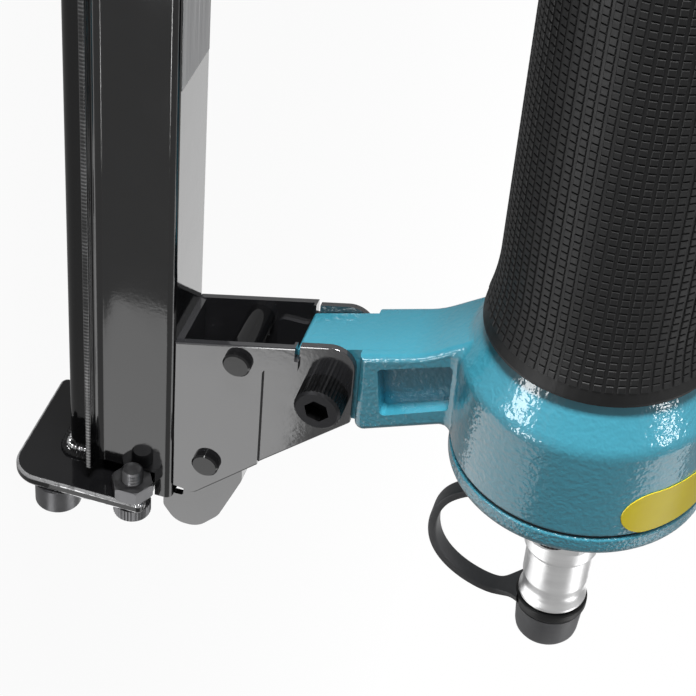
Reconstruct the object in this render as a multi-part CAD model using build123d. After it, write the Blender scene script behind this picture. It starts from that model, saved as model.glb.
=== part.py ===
"""Pneumatic stapler for wide crown staples, as an assembly of separate parts.

Frame, in millimetres: X points forward from the handle to the head, Y to the tool's left side and
Z up. The origin is the middle of the nose tip, on the surface that the tool stands on.
"""
import math
import os

from build123d import *

# Layout: the four sizes that place everything else
HANDLE_AXIS_Z = 101.5       # handle axis above the nose tip
CAP_SEAM_X = -165.0         # joint between the handle drum and its end cap
MAGAZINE_TOP_Z = 30.0       # top face of the fixed magazine channel
TAIL_X = -196.0             # front face of the tray's tail plate

# Clearances
RUN_FIT = 0.08              # radial, round parts that turn or slide in a bore
STILL_FIT = 0.02            # radial, round parts that stay put in a bore
SLIDE_GAP = 0.35            # between flat parts that slide past each other
SEAT_GAP = 0.3              # between a moving part and the seat it stops at

# Staple and driver
STAPLE_CROWN = 12.9
DRIVER_WIDTH = 12.6
DRIVER_THICKNESS = 1.0
DRIVER_GAP = 0.1            # each side of the blade in its guide
DRIVER_SLOT = DRIVER_THICKNESS / 2 + DRIVER_GAP

# Head casting
HEAD_INSET = 0.1            # head's sides in from the drum's, so that the tool lies flat
HEAD_CORNER = 10.0
HEAD_BOTTOM_Z = 50.0
HEAD_TOP_Z = 126.0
HEAD_FLOOR = 6.0
CHAMBER_RADIUS = 18.0
CYLINDER_BORE = 27.0
CYLINDER_WALL = 2.0
CYLINDER_SEAT = 8.0         # depth of the casting's seat for the cylinder

# Piston and bumper
DRIVER_STROKE = 29.0
BUMPER_HEIGHT = 14.0
BUMPER_HOLE_RADIUS = 7.6
PISTON_HEIGHT = 11.0
PISTON_PLAY = 0.3           # radial, bridged by the piston's ring
RING_WIRE = 1.1             # radius of an O-ring's section

# Handle tube, grip sleeve and drum
TUBE_RADIUS = 15.6
HANDLE_BORE_RADIUS = 12.3
GRIP_WALL = 2.45
GRIP_LIP = 2.0              # grip's wall at its flared rear end
GRIP_REAR = 26.8            # grip's rear end ahead of the cap seam
GRIP_FLARE = 13.6           # length over which the grip flares at its rear end
GRIP_FRONT_SET = 12.0       # grip's front end behind the valve
DRUM_RADIUS = 22.6
DRUM_SHOULDER = 18.7        # shoulder ahead of the cap seam
DRUM_SHOULDER_ROUND = 5.0
DRUM_EDGE_ROUND = 0.8       # at the cap seam
DRUM_NECK_RADIUS = 18.0     # where the drum's cone runs under the grip
DRUM_CAVITY_RADIUS = 13.6
DRUM_CAVITY_DEPTH = 13.0
NECK_RADIUS = 20.0          # casting where the handle runs into the head

# Lug under the drum, which carries the magazine's rear end
LUG_HALF = 7.05
LUG_DROP = 38.6             # lower end of the thick lug below the handle axis
LUG_ROUND = 1.2
LUG_BLEND = 2.4             # hollow round between the lug and the drum
LUG_ROOT = 12.0             # lug's upper end, inside the drum, below the handle axis
LUG_FRONT_ROUND = 14.0      # hollow curve of the lug's front face
TONGUE_HALF = 5.0
TONGUE_END = 6.0            # tongue past the bracket screw
TONGUE_ROUND = 1.0
POCKET_DEPTH = 3.0
POCKET_ROUND = 0.8
BRACKET_SCREW_SET = 1.9     # bracket screw ahead of the cap seam
BRACKET_SCREW_DROP = 44.2   # bracket screw below the handle axis
BRACKET_SCREW_SIZE = 5.0

# End cap, its gasket and screws
CAP_THICKNESS = 4.3
CAP_ROUND = 2.0
CAP_EDGE_ROUND = 0.5        # at the seam
CAP_GASKET = 0.45
CAP_BOSS_RADIUS = 12.0
CAP_BOSS_LENGTH = 6.1
CAP_SCREW_SIZE = 4.0
CAP_SCREW_HEAD = 1.6
CAP_SCREW_BITE = 8.0        # thread in the drum
CAP_SCREW_CIRCLE = 17.4     # radius of the screws' circle
CAP_SCREW_COUNT = 4

# Air plug, dust cap and its strap
PLUG_THREAD_RADIUS = 6.5
PLUG_HEX = 14.0             # across the flats
PLUG_HEX_LENGTH = 8.0
PLUG_BASE_RADIUS = 6.8
PLUG_BASE_LENGTH = 4.8
PLUG_BASE_BEVEL = 1.2       # length of the base's sloped end
PLUG_BARREL_RADIUS = 6.0
PLUG_BARREL_LENGTH = 7.05
PLUG_NECK_RADIUS = 5.5
PLUG_NECK_LENGTH = 4.4      # waist between the barrel and the collar
PLUG_COLLAR_RADIUS = 6.2
PLUG_COLLAR_LENGTH = 0.8
PLUG_NOSE_RADIUS = 4.7
PLUG_NOSE_LENGTH = 7.6
PLUG_BORE_RADIUS = 3.2
DUST_RIM_RADIUS = 6.5
DUST_RIM_LENGTH = 1.7
DUST_GROOVE = 0.5           # width of the groove behind the rim
DUST_GROOVE_RADIUS = 5.8
DUST_CUP_RADIUS = 6.1
DUST_END_RADIUS = 5.7
DUST_LENGTH = 9.7
DUST_ROUND = 1.8
STRAP_WIDTH = 3.6
STRAP_THICKNESS = 1.5
STRAP_RING_RADIUS = 9.6
STRAP_REACH = 24.0          # how far the strap's loop hangs below the handle axis
STRAP_FLARE = 8.0           # width of the strap where it meets the cap

# Magazine: fixed channel and the tray that slides in it
MAGAZINE_WIDTH = 15.3
MAGAZINE_WALL = 1.1
MAGAZINE_HEIGHT = 15.6
MAGAZINE_CORNER = 1.3
FLANGE_REACH = 3.0
FLANGE_ROUND = 0.55 * FLANGE_REACH
TRAY_WIDTH = 8.8
TRAY_WALL = 1.0
TRAY_BOTTOM_Z = 8.4
TRAY_CORNER = 2.0
TRAY_NOSE_LENGTH = 14.0
TRAY_NOSE_PIN_RADIUS = 1.5
LABEL_LENGTH = 62.0
LABEL_SET = 58.0            # rear end of the label ahead of the cap seam
LABEL_THICKNESS = 0.15

# Tail plate and its fasteners
TAIL_THICKNESS = 2.3
TAIL_HALF_WIDTH = 13.6
TAIL_HEIGHT = 26.5
TAIL_CORNER = 5.5           # lower corner on the bolt's side
TAIL_FAR_CORNER = 1.5       # lower corner on the other side
TAIL_TOP_CORNER = 1.2
TAIL_EDGE_ROUND = 0.7
TAIL_BOLT_SIZE = 4.0
TAIL_BOLT_SET = 3.1         # bolt below the plate's upper edge
TAIL_BOLT_OUT = 2.55        # bolt beside the magazine's side
TAIL_BOLT_HEAD = 2.8
TAIL_BOLT_GRIP = 8.0        # bolt under its head
TAIL_BOLT_PITCH = 0.7
TAIL_NUT_HEX = 7.0
TAIL_NUT_HEIGHT = 3.0
STOP_HEAD_RADIUS = 4.3
STOP_HEAD_LENGTH = 5.4
STOP_SHANK_RADIUS = 2.5
STOP_SHANK_LENGTH = 1.6     # in a blind hole
STOP_Y = 9.9
STOP_Z = 8.6

# Pusher and its spring
PUSHER_LENGTH = 22.0
PUSHER_WALL = 0.9
PUSHER_TONGUE_HALF = 2.6
PUSHER_DEPTH = 13.0
SPRING_RADIUS = 2.8
SPRING_WIRE = 0.7

# Bracket, pins and latch
SHEET = 1.2
CHEEK_HALF = 7.05           # outer face of the cheeks
CHEEK_EDGE_ROUND = 0.3
CHEEK_JOGGLE = 0.75
JOGGLE_LENGTH = 11.3        # lower step of the cheek below the bracket screw
JOGGLE_FRONT = 2.7          # front step of the cheek ahead of the bracket screw
JOGGLE_STRIP = 5.0          # upper step of the cheek below the bracket screw
JOGGLE_ROUND = 1.5
RELIEF_WIDTH = 0.7          # notch in the cheek's front edge, at the upper step
RELIEF_DEPTH = 3.0
PIN_RADIUS = 2.5
PIN_HEAD = 1.3              # pin past the cheek
PIN_FRONT_SET = 2.6         # front pin ahead of the bracket screw
PIN_FRONT_RISE = 11.6       # front pin above the magazine
LATCH_PIN_SET = 9.2         # latch pin ahead of the tail plate
LATCH_PIN_RISE = 6.5        # latch pin above the magazine
LATCH_SHEET = 1.3
LATCH_HOOK_GAP = 0.5        # hook held clear behind the tail plate
LATCH_HOOK_RISE = 1.3       # hook held clear above the tail plate
LATCH_HEEL = 10.2           # heel behind the tail plate's front face
LATCH_SPRING_RADIUS = 3.9
LATCH_SPRING_LENGTH = 6.0

# Nose
NOSE_HALF = 12.0
NOSE_TIP_HALF = 7.7
NOSE_BLOCK_LENGTH = 14.0
NOSE_FLANGE = 4.0
NOSE_FLANGE_HALF = 17.0
NOSE_FLANGE_LENGTH = 21.6
FRONT_PLATE = 4.0
FRONT_PLATE_ROUND = 2.5
NOSE_SCREW_SIZE = 4.0
PLATE_SCREW_BITE = 8.0      # thread in the nose block
PLATE_SCREW_SET = 5.0       # screws in from the plate's wide part's ends
PLATE_SCREW_INSET = 2.6     # screws in from the plate's sides

# Trigger and its valve
TRIGGER_SET = 5.5           # pivot behind the head's rear side
TRIGGER_PIVOT_Z = 76.0
TRIGGER_HALF = 6.7
TRIGGER_BOSS_RADIUS = 4.6
TRIGGER_PIN_RADIUS = 2.0
TRIGGER_REACH = 33.0        # finger end of the trigger behind its pivot
TRIGGER_DROP = 9.0          # finger end's upper edge below the stem
TRIGGER_TIP = 5.0           # depth of the finger end
TRIGGER_DEPTH = 8.0         # depth of the trigger under the stem
EAR_THICKNESS = 3.0
EAR_RISE = 18.0             # ears' lower corner above the head's bottom
EAR_ROOT = 3.0              # ears' reach into the head
EAR_TOP = 12.0              # ears' top above the valve boss's end
VALVE_SET = 14.0            # valve behind the trigger's pivot
VALVE_RADIUS = 6.5
VALVE_BOSS_RADIUS = 10.0
VALVE_BOTTOM_Z = 80.0
VALVE_FLANGE_HEX = 16.0
VALVE_FLANGE = 1.4
VALVE_HEIGHT = 17.0
VALVE_CHAMBER_RADIUS = 4.4
VALVE_CHAMBER_SET = 4.0     # chamber floor above the casting's boss
VALVE_PLUG = 2.0
STEM_RADIUS = 2.0
STEM_PROUD = 2.3            # stem below the bushing's flange
STEM_HEAD_RADIUS = 3.8
STEM_HEAD_LIP = 0.8
STEM_RING_WIRE = 0.9

# Head valve, top cap and exhaust deflector
VALVE_LIFT = 3.0
POPPET_RADIUS = 16.4
POPPET_THICKNESS = 4.0
POPPET_SEAL = 1.6
POPPET_STEM_RADIUS = 7.0
POPPET_STEM_LENGTH = 17.0
TOP_GASKET = 0.6
TOP_FLANGE = 7.5
TOP_DOME_RADIUS = 17.0
TOP_DOME_HEIGHT = 12.0
TOP_DOME_ROUND = 2.0
TOP_SCREW_INSET = 5.6       # screws in from the head's sides
TOP_SCREW_SIZE = 4.0
TOP_SCREW_BITE = 11.0       # thread in the head
EXHAUST_HOLE_RADIUS = 2.2
EXHAUST_CIRCLE = 10.6
DEFLECTOR_RADIUS = 15.0
DEFLECTOR_HEIGHT = 7.0
DEFLECTOR_WALL = 1.6
DEFLECTOR_ROUND = 2.5
DEFLECTOR_VENT = 14.0       # width of the deflector's side opening
DEFLECTOR_SCREW_SIZE = 5.0

# Yellow service sticker on the drum
STICKER_HEIGHT = 9.0
STICKER_LENGTH = 27.0
STICKER_SET = 5.0           # middle of the sticker ahead of the cap seam
STICKER_ANGLE = 64.0        # degrees from the left side towards the top
STICKER_THICKNESS = 0.12
STICKER_GAP = 0.06          # adhesive under the sticker

# Worked-out places
CYLINDER_RADIUS = CYLINDER_BORE / 2 + CYLINDER_WALL
FLOOR_Z = HEAD_BOTTOM_Z + HEAD_FLOOR
PISTON_DOWN_Z = FLOOR_Z + BUMPER_HEIGHT + SEAT_GAP
PISTON_Z = PISTON_DOWN_Z + DRIVER_STROKE
CYLINDER_TOP_Z = PISTON_Z + PISTON_HEIGHT + 1.7
POPPET_Z = CYLINDER_TOP_Z + SEAT_GAP
HEAD_SIDE = 2 * (DRUM_RADIUS - HEAD_INSET)
TRIGGER_PIVOT_X = -HEAD_SIDE / 2 - TRIGGER_SET
VALVE_X = TRIGGER_PIVOT_X - VALVE_SET
GRIP_FRONT_X = VALVE_X - GRIP_FRONT_SET
TOP_SCREW_SET = HEAD_SIDE / 2 - TOP_SCREW_INSET
TOP_CAP_Z = HEAD_TOP_Z + TOP_GASKET
TOP_FLANGE_Z = TOP_CAP_Z + TOP_FLANGE
TOP_DOME_Z = TOP_FLANGE_Z + TOP_DOME_HEIGHT
DRIVER_TIP_Z = DRIVER_STROKE + SEAT_GAP
MAGAZINE_HALF = MAGAZINE_WIDTH / 2
MAGAZINE_INNER = MAGAZINE_HALF - MAGAZINE_WALL
FLANGE_Z = MAGAZINE_TOP_Z - MAGAZINE_HEIGHT
STRIP_TOP_Z = MAGAZINE_TOP_Z - MAGAZINE_WALL - SLIDE_GAP
TRAY_TOP_Z = STRIP_TOP_Z - PUSHER_WALL - SLIDE_GAP
TRAY_INNER = TRAY_WIDTH / 2 - TRAY_WALL
TRAY_FLOOR_Z = TRAY_BOTTOM_Z + TRAY_WALL
FEED_X = -DRIVER_SLOT - SLIDE_GAP
SCREW_X = CAP_SEAM_X + BRACKET_SCREW_SET
SCREW_Z = HANDLE_AXIS_Z - BRACKET_SCREW_DROP
LATCH_PIN_X = TAIL_X + LATCH_PIN_SET
LATCH_PIN_Z = MAGAZINE_TOP_Z + LATCH_PIN_RISE
LUG_END_Z = HANDLE_AXIS_Z - LUG_DROP
DRUM_LOW_Z = HANDLE_AXIS_Z - DRUM_RADIUS
CAP_FRONT_X = CAP_SEAM_X - CAP_GASKET
CAP_REAR_X = CAP_FRONT_X - CAP_THICKNESS
BOSS_REAR_X = CAP_REAR_X - CAP_BOSS_LENGTH
RING_REAR_X = BOSS_REAR_X - SEAT_GAP - STRAP_THICKNESS
HEX_FRONT_X = RING_REAR_X - SEAT_GAP
BASE_END_X = HEX_FRONT_X - PLUG_HEX_LENGTH - PLUG_BASE_LENGTH
BARREL_END_X = BASE_END_X - PLUG_BARREL_LENGTH
PLUG_COLLAR_X = BARREL_END_X - PLUG_NECK_LENGTH
DUST_FRONT_X = PLUG_COLLAR_X - PLUG_COLLAR_LENGTH - SEAT_GAP
DUST_REAR_X = DUST_FRONT_X - DUST_LENGTH
TAIL_REAR_X = TAIL_X - TAIL_THICKNESS
STOP_END_X = TAIL_REAR_X + STOP_SHANK_LENGTH
TAIL_BOLT_Y = MAGAZINE_HALF + TAIL_BOLT_OUT
TAIL_BOLT_Z = TAIL_HEIGHT - TAIL_BOLT_SET
GRIP_RADIUS = TUBE_RADIUS + GRIP_WALL
GRIP_END_RADIUS = DRUM_NECK_RADIUS + GRIP_LIP
HANDLE_AXIS = Axis((0, 0, HANDLE_AXIS_Z), (1, 0, 0))


# Shape helpers

def block(x0, x1, y0, y1, z0, z1):
    """Box between two corners."""
    middle = Pos((x0 + x1) / 2, (y0 + y1) / 2, (z0 + z1) / 2)
    return middle * Box(x1 - x0, y1 - y0, z1 - z0)


def rod_x(radius, x0, x1, y=0.0, z=HANDLE_AXIS_Z):
    """Round bar along X."""
    return Pos((x0 + x1) / 2, y, z) * Rot(0, 90, 0) * Cylinder(radius, x1 - x0)


def rod_y(radius, y0, y1, x, z):
    """Round bar along Y."""
    return Pos(x, (y0 + y1) / 2, z) * Rot(90, 0, 0) * Cylinder(radius, y1 - y0)


def rod_z(radius, z0, z1, x=0.0, y=0.0):
    """Round bar along Z."""
    return Pos(x, y, (z0 + z1) / 2) * Cylinder(radius, z1 - z0)


def tube_z(outer, inner, z0, z1, x=0.0, y=0.0):
    """Round tube along Z."""
    return rod_z(outer, z0, z1, x, y) - rod_z(inner, z0, z1, x, y)


def slab_y(points, y0, y1, radius=0.0):
    """Closed outline of (x, z) points, rounded at its corners, pulled from y0 to y1."""
    outline = FilletPolyline(*points, radius=radius, close=True)
    face = make_face(Plane.XZ.offset(-y1) * outline)
    return extrude(face, y1 - y0, dir=(0, -1, 0))


def slab_x(points, x0, x1, radius=0.0):
    """Closed outline of (y, z) points, rounded at its corners, pulled from x0 to x1."""
    outline = FilletPolyline(*points, radius=radius, close=True)
    face = make_face(Plane.YZ.offset(x0) * outline)
    return extrude(face, x1 - x0, dir=(1, 0, 0))


def rounded_post(side, corner, z0, z1):
    """Square post along Z with rounded corners."""
    return Pos(0, 0, z0) * extrude(RectangleRounded(side, side, corner), z1 - z0)


def turned(points, radius=0.0):
    """Closed outline of (x, radius) points, rounded at its corners, turned about the handle axis."""
    raised = [(x, HANDLE_AXIS_Z + r) for x, r in points]
    outline = FilletPolyline(*raised, radius=radius, close=True)
    return revolve(make_face(Plane.XZ * outline), axis=HANDLE_AXIS)


def hex_bar(flats, length):
    """Hexagonal bar along Z, from z = 0, with its ends turned down."""
    bar = extrude(RegularPolygon(flats / 2, 6, major_radius=False), length)
    corner = flats / math.sqrt(3)
    trim = min(0.6 * (corner - flats / 2), 0.3 * length)
    blank = Cylinder(corner, length)
    blank = chamfer(blank.edges().filter_by(GeomType.CIRCLE), trim)
    return bar & Pos(0, 0, length / 2) * blank


def thread(radius, length, pitch):
    """Threaded bar along Z, from z = 0, as a row of V ridges."""
    depth = 0.55 * pitch
    turns = max(1, round(length / pitch))
    step = length / turns
    points = [(0, 0)]
    for turn in range(turns):
        points.append((radius - depth, turn * step))
        points.append((radius, (turn + 0.5) * step))
    points.append((radius - depth, length))
    points.append((0, length))
    return revolve(make_face(Plane.XZ * Polyline(*points, close=True)), axis=Axis.Z)


def knurled_head(radius, height, grooves=36):
    """Round head along Z, from z = 0, with a grooved rim and a chamfered face."""
    depth = 0.035 * radius
    points = []
    for groove in range(2 * grooves):
        reach = radius if groove % 2 else radius - depth
        angle = math.pi * groove / grooves
        points.append((reach * math.cos(angle), reach * math.sin(angle)))
    rim = extrude(make_face(Polyline(*points, close=True)), height)
    smooth = Pos(0, 0, height / 2) * Cylinder(radius, height)
    top = smooth.edges().filter_by(GeomType.CIRCLE).sort_by(Axis.Z)[-1]
    return rim & chamfer(top, 0.12 * radius)


def head_radius(size):
    """Radius of a socket screw's head."""
    return 0.75 * size + 0.5


def socket_screw(size, length, height=None):
    """Socket screw along Z: its head stands on z = 0 and its shank goes down."""
    height = size if height is None else height
    socket = extrude(RegularPolygon((size - 1) / 2, 6, major_radius=False), 0.6 * height)
    head = knurled_head(head_radius(size), height) - Pos(0, 0, 0.4 * height) * socket
    return head + rod_z(size / 2, -length, 0)


def bend_radii(route):
    """Largest even rounds at the inner points of a route."""
    radii = []
    for before, corner, after in zip(route[:-2], route[1:-1], route[2:]):
        come = Vector(*corner) - Vector(*before)
        go = Vector(*after) - Vector(*corner)
        half_turn = math.radians(come.get_angle(go)) / 2
        radii.append(0.45 * min(come.length, go.length) / math.tan(half_turn))
    return radii


def o_ring(radius, wire, x=0.0, y=0.0, z=0.0):
    """O-ring about Z, with its wire's centre line on a circle."""
    return Pos(x, y, z) * Torus(radius, wire)


# Head and handle casting

def drum_and_tube():
    """Turned part of the casting: drum, cone, handle tube and neck."""
    grip_rear_x = CAP_SEAM_X + GRIP_REAR
    points = [
        (CAP_SEAM_X, 0),
        (CAP_SEAM_X, DRUM_RADIUS),
        (CAP_SEAM_X + DRUM_SHOULDER, DRUM_RADIUS),
        (grip_rear_x, DRUM_NECK_RADIUS),
        (grip_rear_x + GRIP_FLARE, TUBE_RADIUS),
        (GRIP_FRONT_X, TUBE_RADIUS),
        (GRIP_FRONT_X, GRIP_RADIUS),
        (-HEAD_SIDE / 2, NECK_RADIUS),
        (0, NECK_RADIUS),
        (0, 0),
    ]
    rounds = [0, DRUM_EDGE_ROUND, DRUM_SHOULDER_ROUND, 0, 0, 0, 0.4 * GRIP_WALL, 0, 0, 0]
    return turned(points, rounds)


def lug_sides():
    """(x, z) corners of the lug above its foot, rear side first."""
    root = HANDLE_AXIS_Z - LUG_ROOT
    front = CAP_SEAM_X + GRIP_REAR - 3.3
    cone_low = HANDLE_AXIS_Z - (DRUM_RADIUS + DRUM_NECK_RADIUS) / 2
    return [
        (SCREW_X - 0.2, DRUM_LOW_Z - 0.8),
        (SCREW_X + 4, root),
        (front + 3.4, root),
        (front, cone_low + 2.7),
        (SCREW_X + 14.2, DRUM_LOW_Z - 5.4),
    ]


def lug():
    """Thick lug that slants down and back from the drum, with rounded rims."""
    points = [(SCREW_X - 6.9, LUG_END_Z)] + lug_sides() + [(SCREW_X + 10.7, LUG_END_Z)]
    body = slab_y(points, -LUG_HALF, LUG_HALF, [1.5, 0, 0, 0, 0, LUG_FRONT_ROUND, 0])
    rims = body.faces().sort_by(Axis.Y)[0].edges() + body.faces().sort_by(Axis.Y)[-1].edges()
    return fillet(rims, LUG_ROUND)


def tongue():
    """Thinner core of the lug, which runs down between the bracket's cheeks."""
    tip = SCREW_Z - TONGUE_END
    points = [(SCREW_X - 5.6, LUG_END_Z)] + lug_sides()
    points += [(SCREW_X + 7, tip), (SCREW_X - 3.4, tip), (SCREW_X - 5.6, tip + 2)]
    rounds = [0, 0, 0, 0, 0, LUG_FRONT_ROUND, TONGUE_ROUND, TONGUE_ROUND, TONGUE_ROUND]
    return slab_y(points, -TONGUE_HALF, TONGUE_HALF, rounds)


def drum_and_lug():
    """Drum, handle tube and lug, blended together, with a pocket in each side of the lug."""
    drum = drum_and_tube()
    thick = lug()
    casting = drum + thick
    casting = fillet(new_edges(drum, thick, combined=casting), LUG_BLEND)
    casting += tongue()
    foot = LUG_END_Z
    pocket_points = [
        (SCREW_X + 9, foot + 3.3),
        (SCREW_X + 14.1, DRUM_LOW_Z + 0.2),
        (SCREW_X + 4, DRUM_LOW_Z + 0.2),
        (SCREW_X - 1.4, foot + 4.5),
    ]
    for side in (-1, 1):
        inner = side * (LUG_HALF - POCKET_DEPTH)
        outer = side * (LUG_HALF + LUG_BLEND)
        casting -= slab_y(pocket_points, min(inner, outer), max(inner, outer), POCKET_ROUND)
    return casting - rod_y(BRACKET_SCREW_SIZE / 2 + STILL_FIT, -LUG_HALF, LUG_HALF, SCREW_X, SCREW_Z)


def trigger_mount():
    """Ears for the trigger's pin and the boss for its valve."""
    ear_in = TRIGGER_HALF + SLIDE_GAP
    ear_points = [
        (-HEAD_SIDE / 2 + EAR_ROOT, HEAD_BOTTOM_Z + EAR_RISE),
        (TRIGGER_PIVOT_X - 2, TRIGGER_PIVOT_Z - 5.5),
        (TRIGGER_PIVOT_X - 6, TRIGGER_PIVOT_Z - 1),
        (TRIGGER_PIVOT_X - 6, VALVE_BOTTOM_Z + EAR_TOP),
        (-HEAD_SIDE / 2 + EAR_ROOT, VALVE_BOTTOM_Z + EAR_TOP),
    ]
    mount = rod_z(VALVE_BOSS_RADIUS, VALVE_BOTTOM_Z, HANDLE_AXIS_Z, VALVE_X)
    for side in (-1, 1):
        near = side * ear_in
        far = side * (ear_in + EAR_THICKNESS)
        mount += slab_y(ear_points, min(near, far), max(near, far), [0, 3, 2, 0, 0])
    return mount


def body_casting():
    """Head, handle tube, drum and lug in one casting."""
    head = rounded_post(HEAD_SIDE, HEAD_CORNER, HEAD_BOTTOM_Z, HEAD_TOP_Z)
    head = fillet(head.edges().group_by(Axis.Z)[0], 2.0)
    casting = head + drum_and_lug() + trigger_mount()
    casting -= rod_z(CHAMBER_RADIUS, FLOOR_Z + CYLINDER_SEAT, HEAD_TOP_Z)
    casting -= rod_z(CYLINDER_RADIUS + STILL_FIT, FLOOR_Z, HEAD_TOP_Z)
    casting -= block(-1.2, 1.2, -DRIVER_WIDTH / 2 - 1, DRIVER_WIDTH / 2 + 1, HEAD_BOTTOM_Z, FLOOR_Z)
    casting -= rod_x(HANDLE_BORE_RADIUS, CAP_SEAM_X, 0)
    casting -= rod_x(DRUM_CAVITY_RADIUS, CAP_SEAM_X, CAP_SEAM_X + DRUM_CAVITY_DEPTH)
    casting -= rod_z(VALVE_RADIUS + STILL_FIT, VALVE_BOTTOM_Z, HANDLE_AXIS_Z, VALVE_X)
    ear_out = TRIGGER_HALF + SLIDE_GAP + EAR_THICKNESS
    casting -= rod_y(TRIGGER_PIN_RADIUS + STILL_FIT, -ear_out, ear_out, TRIGGER_PIVOT_X, TRIGGER_PIVOT_Z)
    for x, y in cap_screw_places():
        casting -= rod_x(CAP_SCREW_SIZE / 2 + STILL_FIT, CAP_SEAM_X, CAP_SEAM_X + CAP_SCREW_BITE + 1, x, y)
    for x, y in top_screw_places():
        casting -= rod_z(TOP_SCREW_SIZE / 2 + STILL_FIT, HEAD_TOP_Z - TOP_SCREW_BITE - 1, HEAD_TOP_Z, x, y)
    for x, y in nose_screw_places():
        casting -= rod_z(NOSE_SCREW_SIZE / 2 + STILL_FIT, HEAD_BOTTOM_Z, FLOOR_Z, x, y)
    return casting


def cap_screw_places():
    """(y, z) of each end cap screw."""
    places = []
    for index in range(CAP_SCREW_COUNT):
        angle = 2 * math.pi * index / CAP_SCREW_COUNT
        y = CAP_SCREW_CIRCLE * math.cos(angle)
        z = HANDLE_AXIS_Z + CAP_SCREW_CIRCLE * math.sin(angle)
        places.append((y, z))
    return places


def top_screw_places():
    """(x, y) of each top cap screw."""
    return [(sx * TOP_SCREW_SET, sy * TOP_SCREW_SET) for sx in (-1, 1) for sy in (-1, 1)]


def nose_screw_places():
    """(x, y) of each screw that holds the nose block to the head."""
    x = -DRIVER_SLOT - NOSE_BLOCK_LENGTH - head_radius(NOSE_SCREW_SIZE) - DRIVER_GAP
    y = NOSE_FLANGE_HALF - 5
    return [(x, -y), (x, y)]


def grip_sleeve():
    """Rubber sleeve that flares over the drum's cone at its rear end."""
    rear_x = CAP_SEAM_X + GRIP_REAR
    flare_x = rear_x + GRIP_FLARE
    front_x = GRIP_FRONT_X - STILL_FIT
    z = HANDLE_AXIS_Z
    skin = 2 * STILL_FIT
    outline = TangentArc((flare_x, z + GRIP_RADIUS), (rear_x, z + GRIP_END_RADIUS), tangent=(-1, 0))
    outline += Polyline(
        (rear_x, z + GRIP_END_RADIUS),
        (rear_x, z + DRUM_NECK_RADIUS + skin),
        (flare_x, z + TUBE_RADIUS + skin),
        (front_x, z + TUBE_RADIUS + skin),
        (front_x, z + GRIP_RADIUS),
        (flare_x, z + GRIP_RADIUS),
    )
    sleeve = revolve(make_face(Plane.XZ * outline), axis=HANDLE_AXIS)
    rear_rim = sleeve.edges().filter_by(GeomType.CIRCLE).filter_by(
        lambda edge: abs(edge.center().X - rear_x) < 0.01 and edge.radius > GRIP_END_RADIUS - 0.1)
    return fillet(rear_rim, 0.6)


def end_cap_gasket():
    """Thin ring between the drum and the end cap."""
    ring = rod_x(DRUM_RADIUS - 0.5, CAP_FRONT_X, CAP_SEAM_X)
    ring -= rod_x(DRUM_CAVITY_RADIUS, CAP_FRONT_X, CAP_SEAM_X)
    for y, z in cap_screw_places():
        ring -= rod_x(CAP_SCREW_SIZE / 2 + STILL_FIT, CAP_FRONT_X, CAP_SEAM_X, y, z)
    return ring


def end_cap():
    """Round cap with a boss that holds the air plug."""
    points = [
        (CAP_FRONT_X, 0),
        (CAP_FRONT_X, DRUM_RADIUS),
        (CAP_REAR_X, DRUM_RADIUS),
        (CAP_REAR_X, CAP_BOSS_RADIUS),
        (BOSS_REAR_X, CAP_BOSS_RADIUS - 1),
        (BOSS_REAR_X, 0),
    ]
    cap = turned(points, [0, CAP_EDGE_ROUND, CAP_ROUND, 1.0, 1.0, 0])
    cap -= rod_x(PLUG_THREAD_RADIUS + STILL_FIT, BOSS_REAR_X, CAP_FRONT_X)
    for y, z in cap_screw_places():
        cap -= rod_x(CAP_SCREW_SIZE / 2 + STILL_FIT, CAP_REAR_X, CAP_FRONT_X, y, z)
    return cap


def end_cap_screws():
    """Low-headed socket screws through the end cap."""
    length = CAP_THICKNESS + CAP_GASKET + CAP_SCREW_BITE
    screw = Rot(0, -90, 0) * socket_screw(CAP_SCREW_SIZE, length, CAP_SCREW_HEAD)
    return Compound(children=[Pos(CAP_REAR_X, y, z) * screw for y, z in cap_screw_places()])


def handle_sticker():
    """Blank pill-shaped sticker wrapped on the drum's side."""
    inner = DRUM_RADIUS + STICKER_GAP
    x = CAP_SEAM_X + STICKER_SET
    sheet = rod_x(inner + STICKER_THICKNESS, x - STICKER_HEIGHT, x + STICKER_HEIGHT)
    sheet -= rod_x(inner, x - STICKER_HEIGHT, x + STICKER_HEIGHT)
    pill = extrude(SlotOverall(STICKER_LENGTH, STICKER_HEIGHT), DRUM_RADIUS + 2)
    outward = Plane((x, 0, HANDLE_AXIS_Z), x_dir=(0, -1, 0), z_dir=(0, 0, 1)) * pill
    turn = Pos(0, 0, HANDLE_AXIS_Z) * Rot(STICKER_ANGLE - 90, 0, 0) * Pos(0, 0, -HANDLE_AXIS_Z)
    return sheet & turn * outward


# Air plug, dust cap and strap

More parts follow.
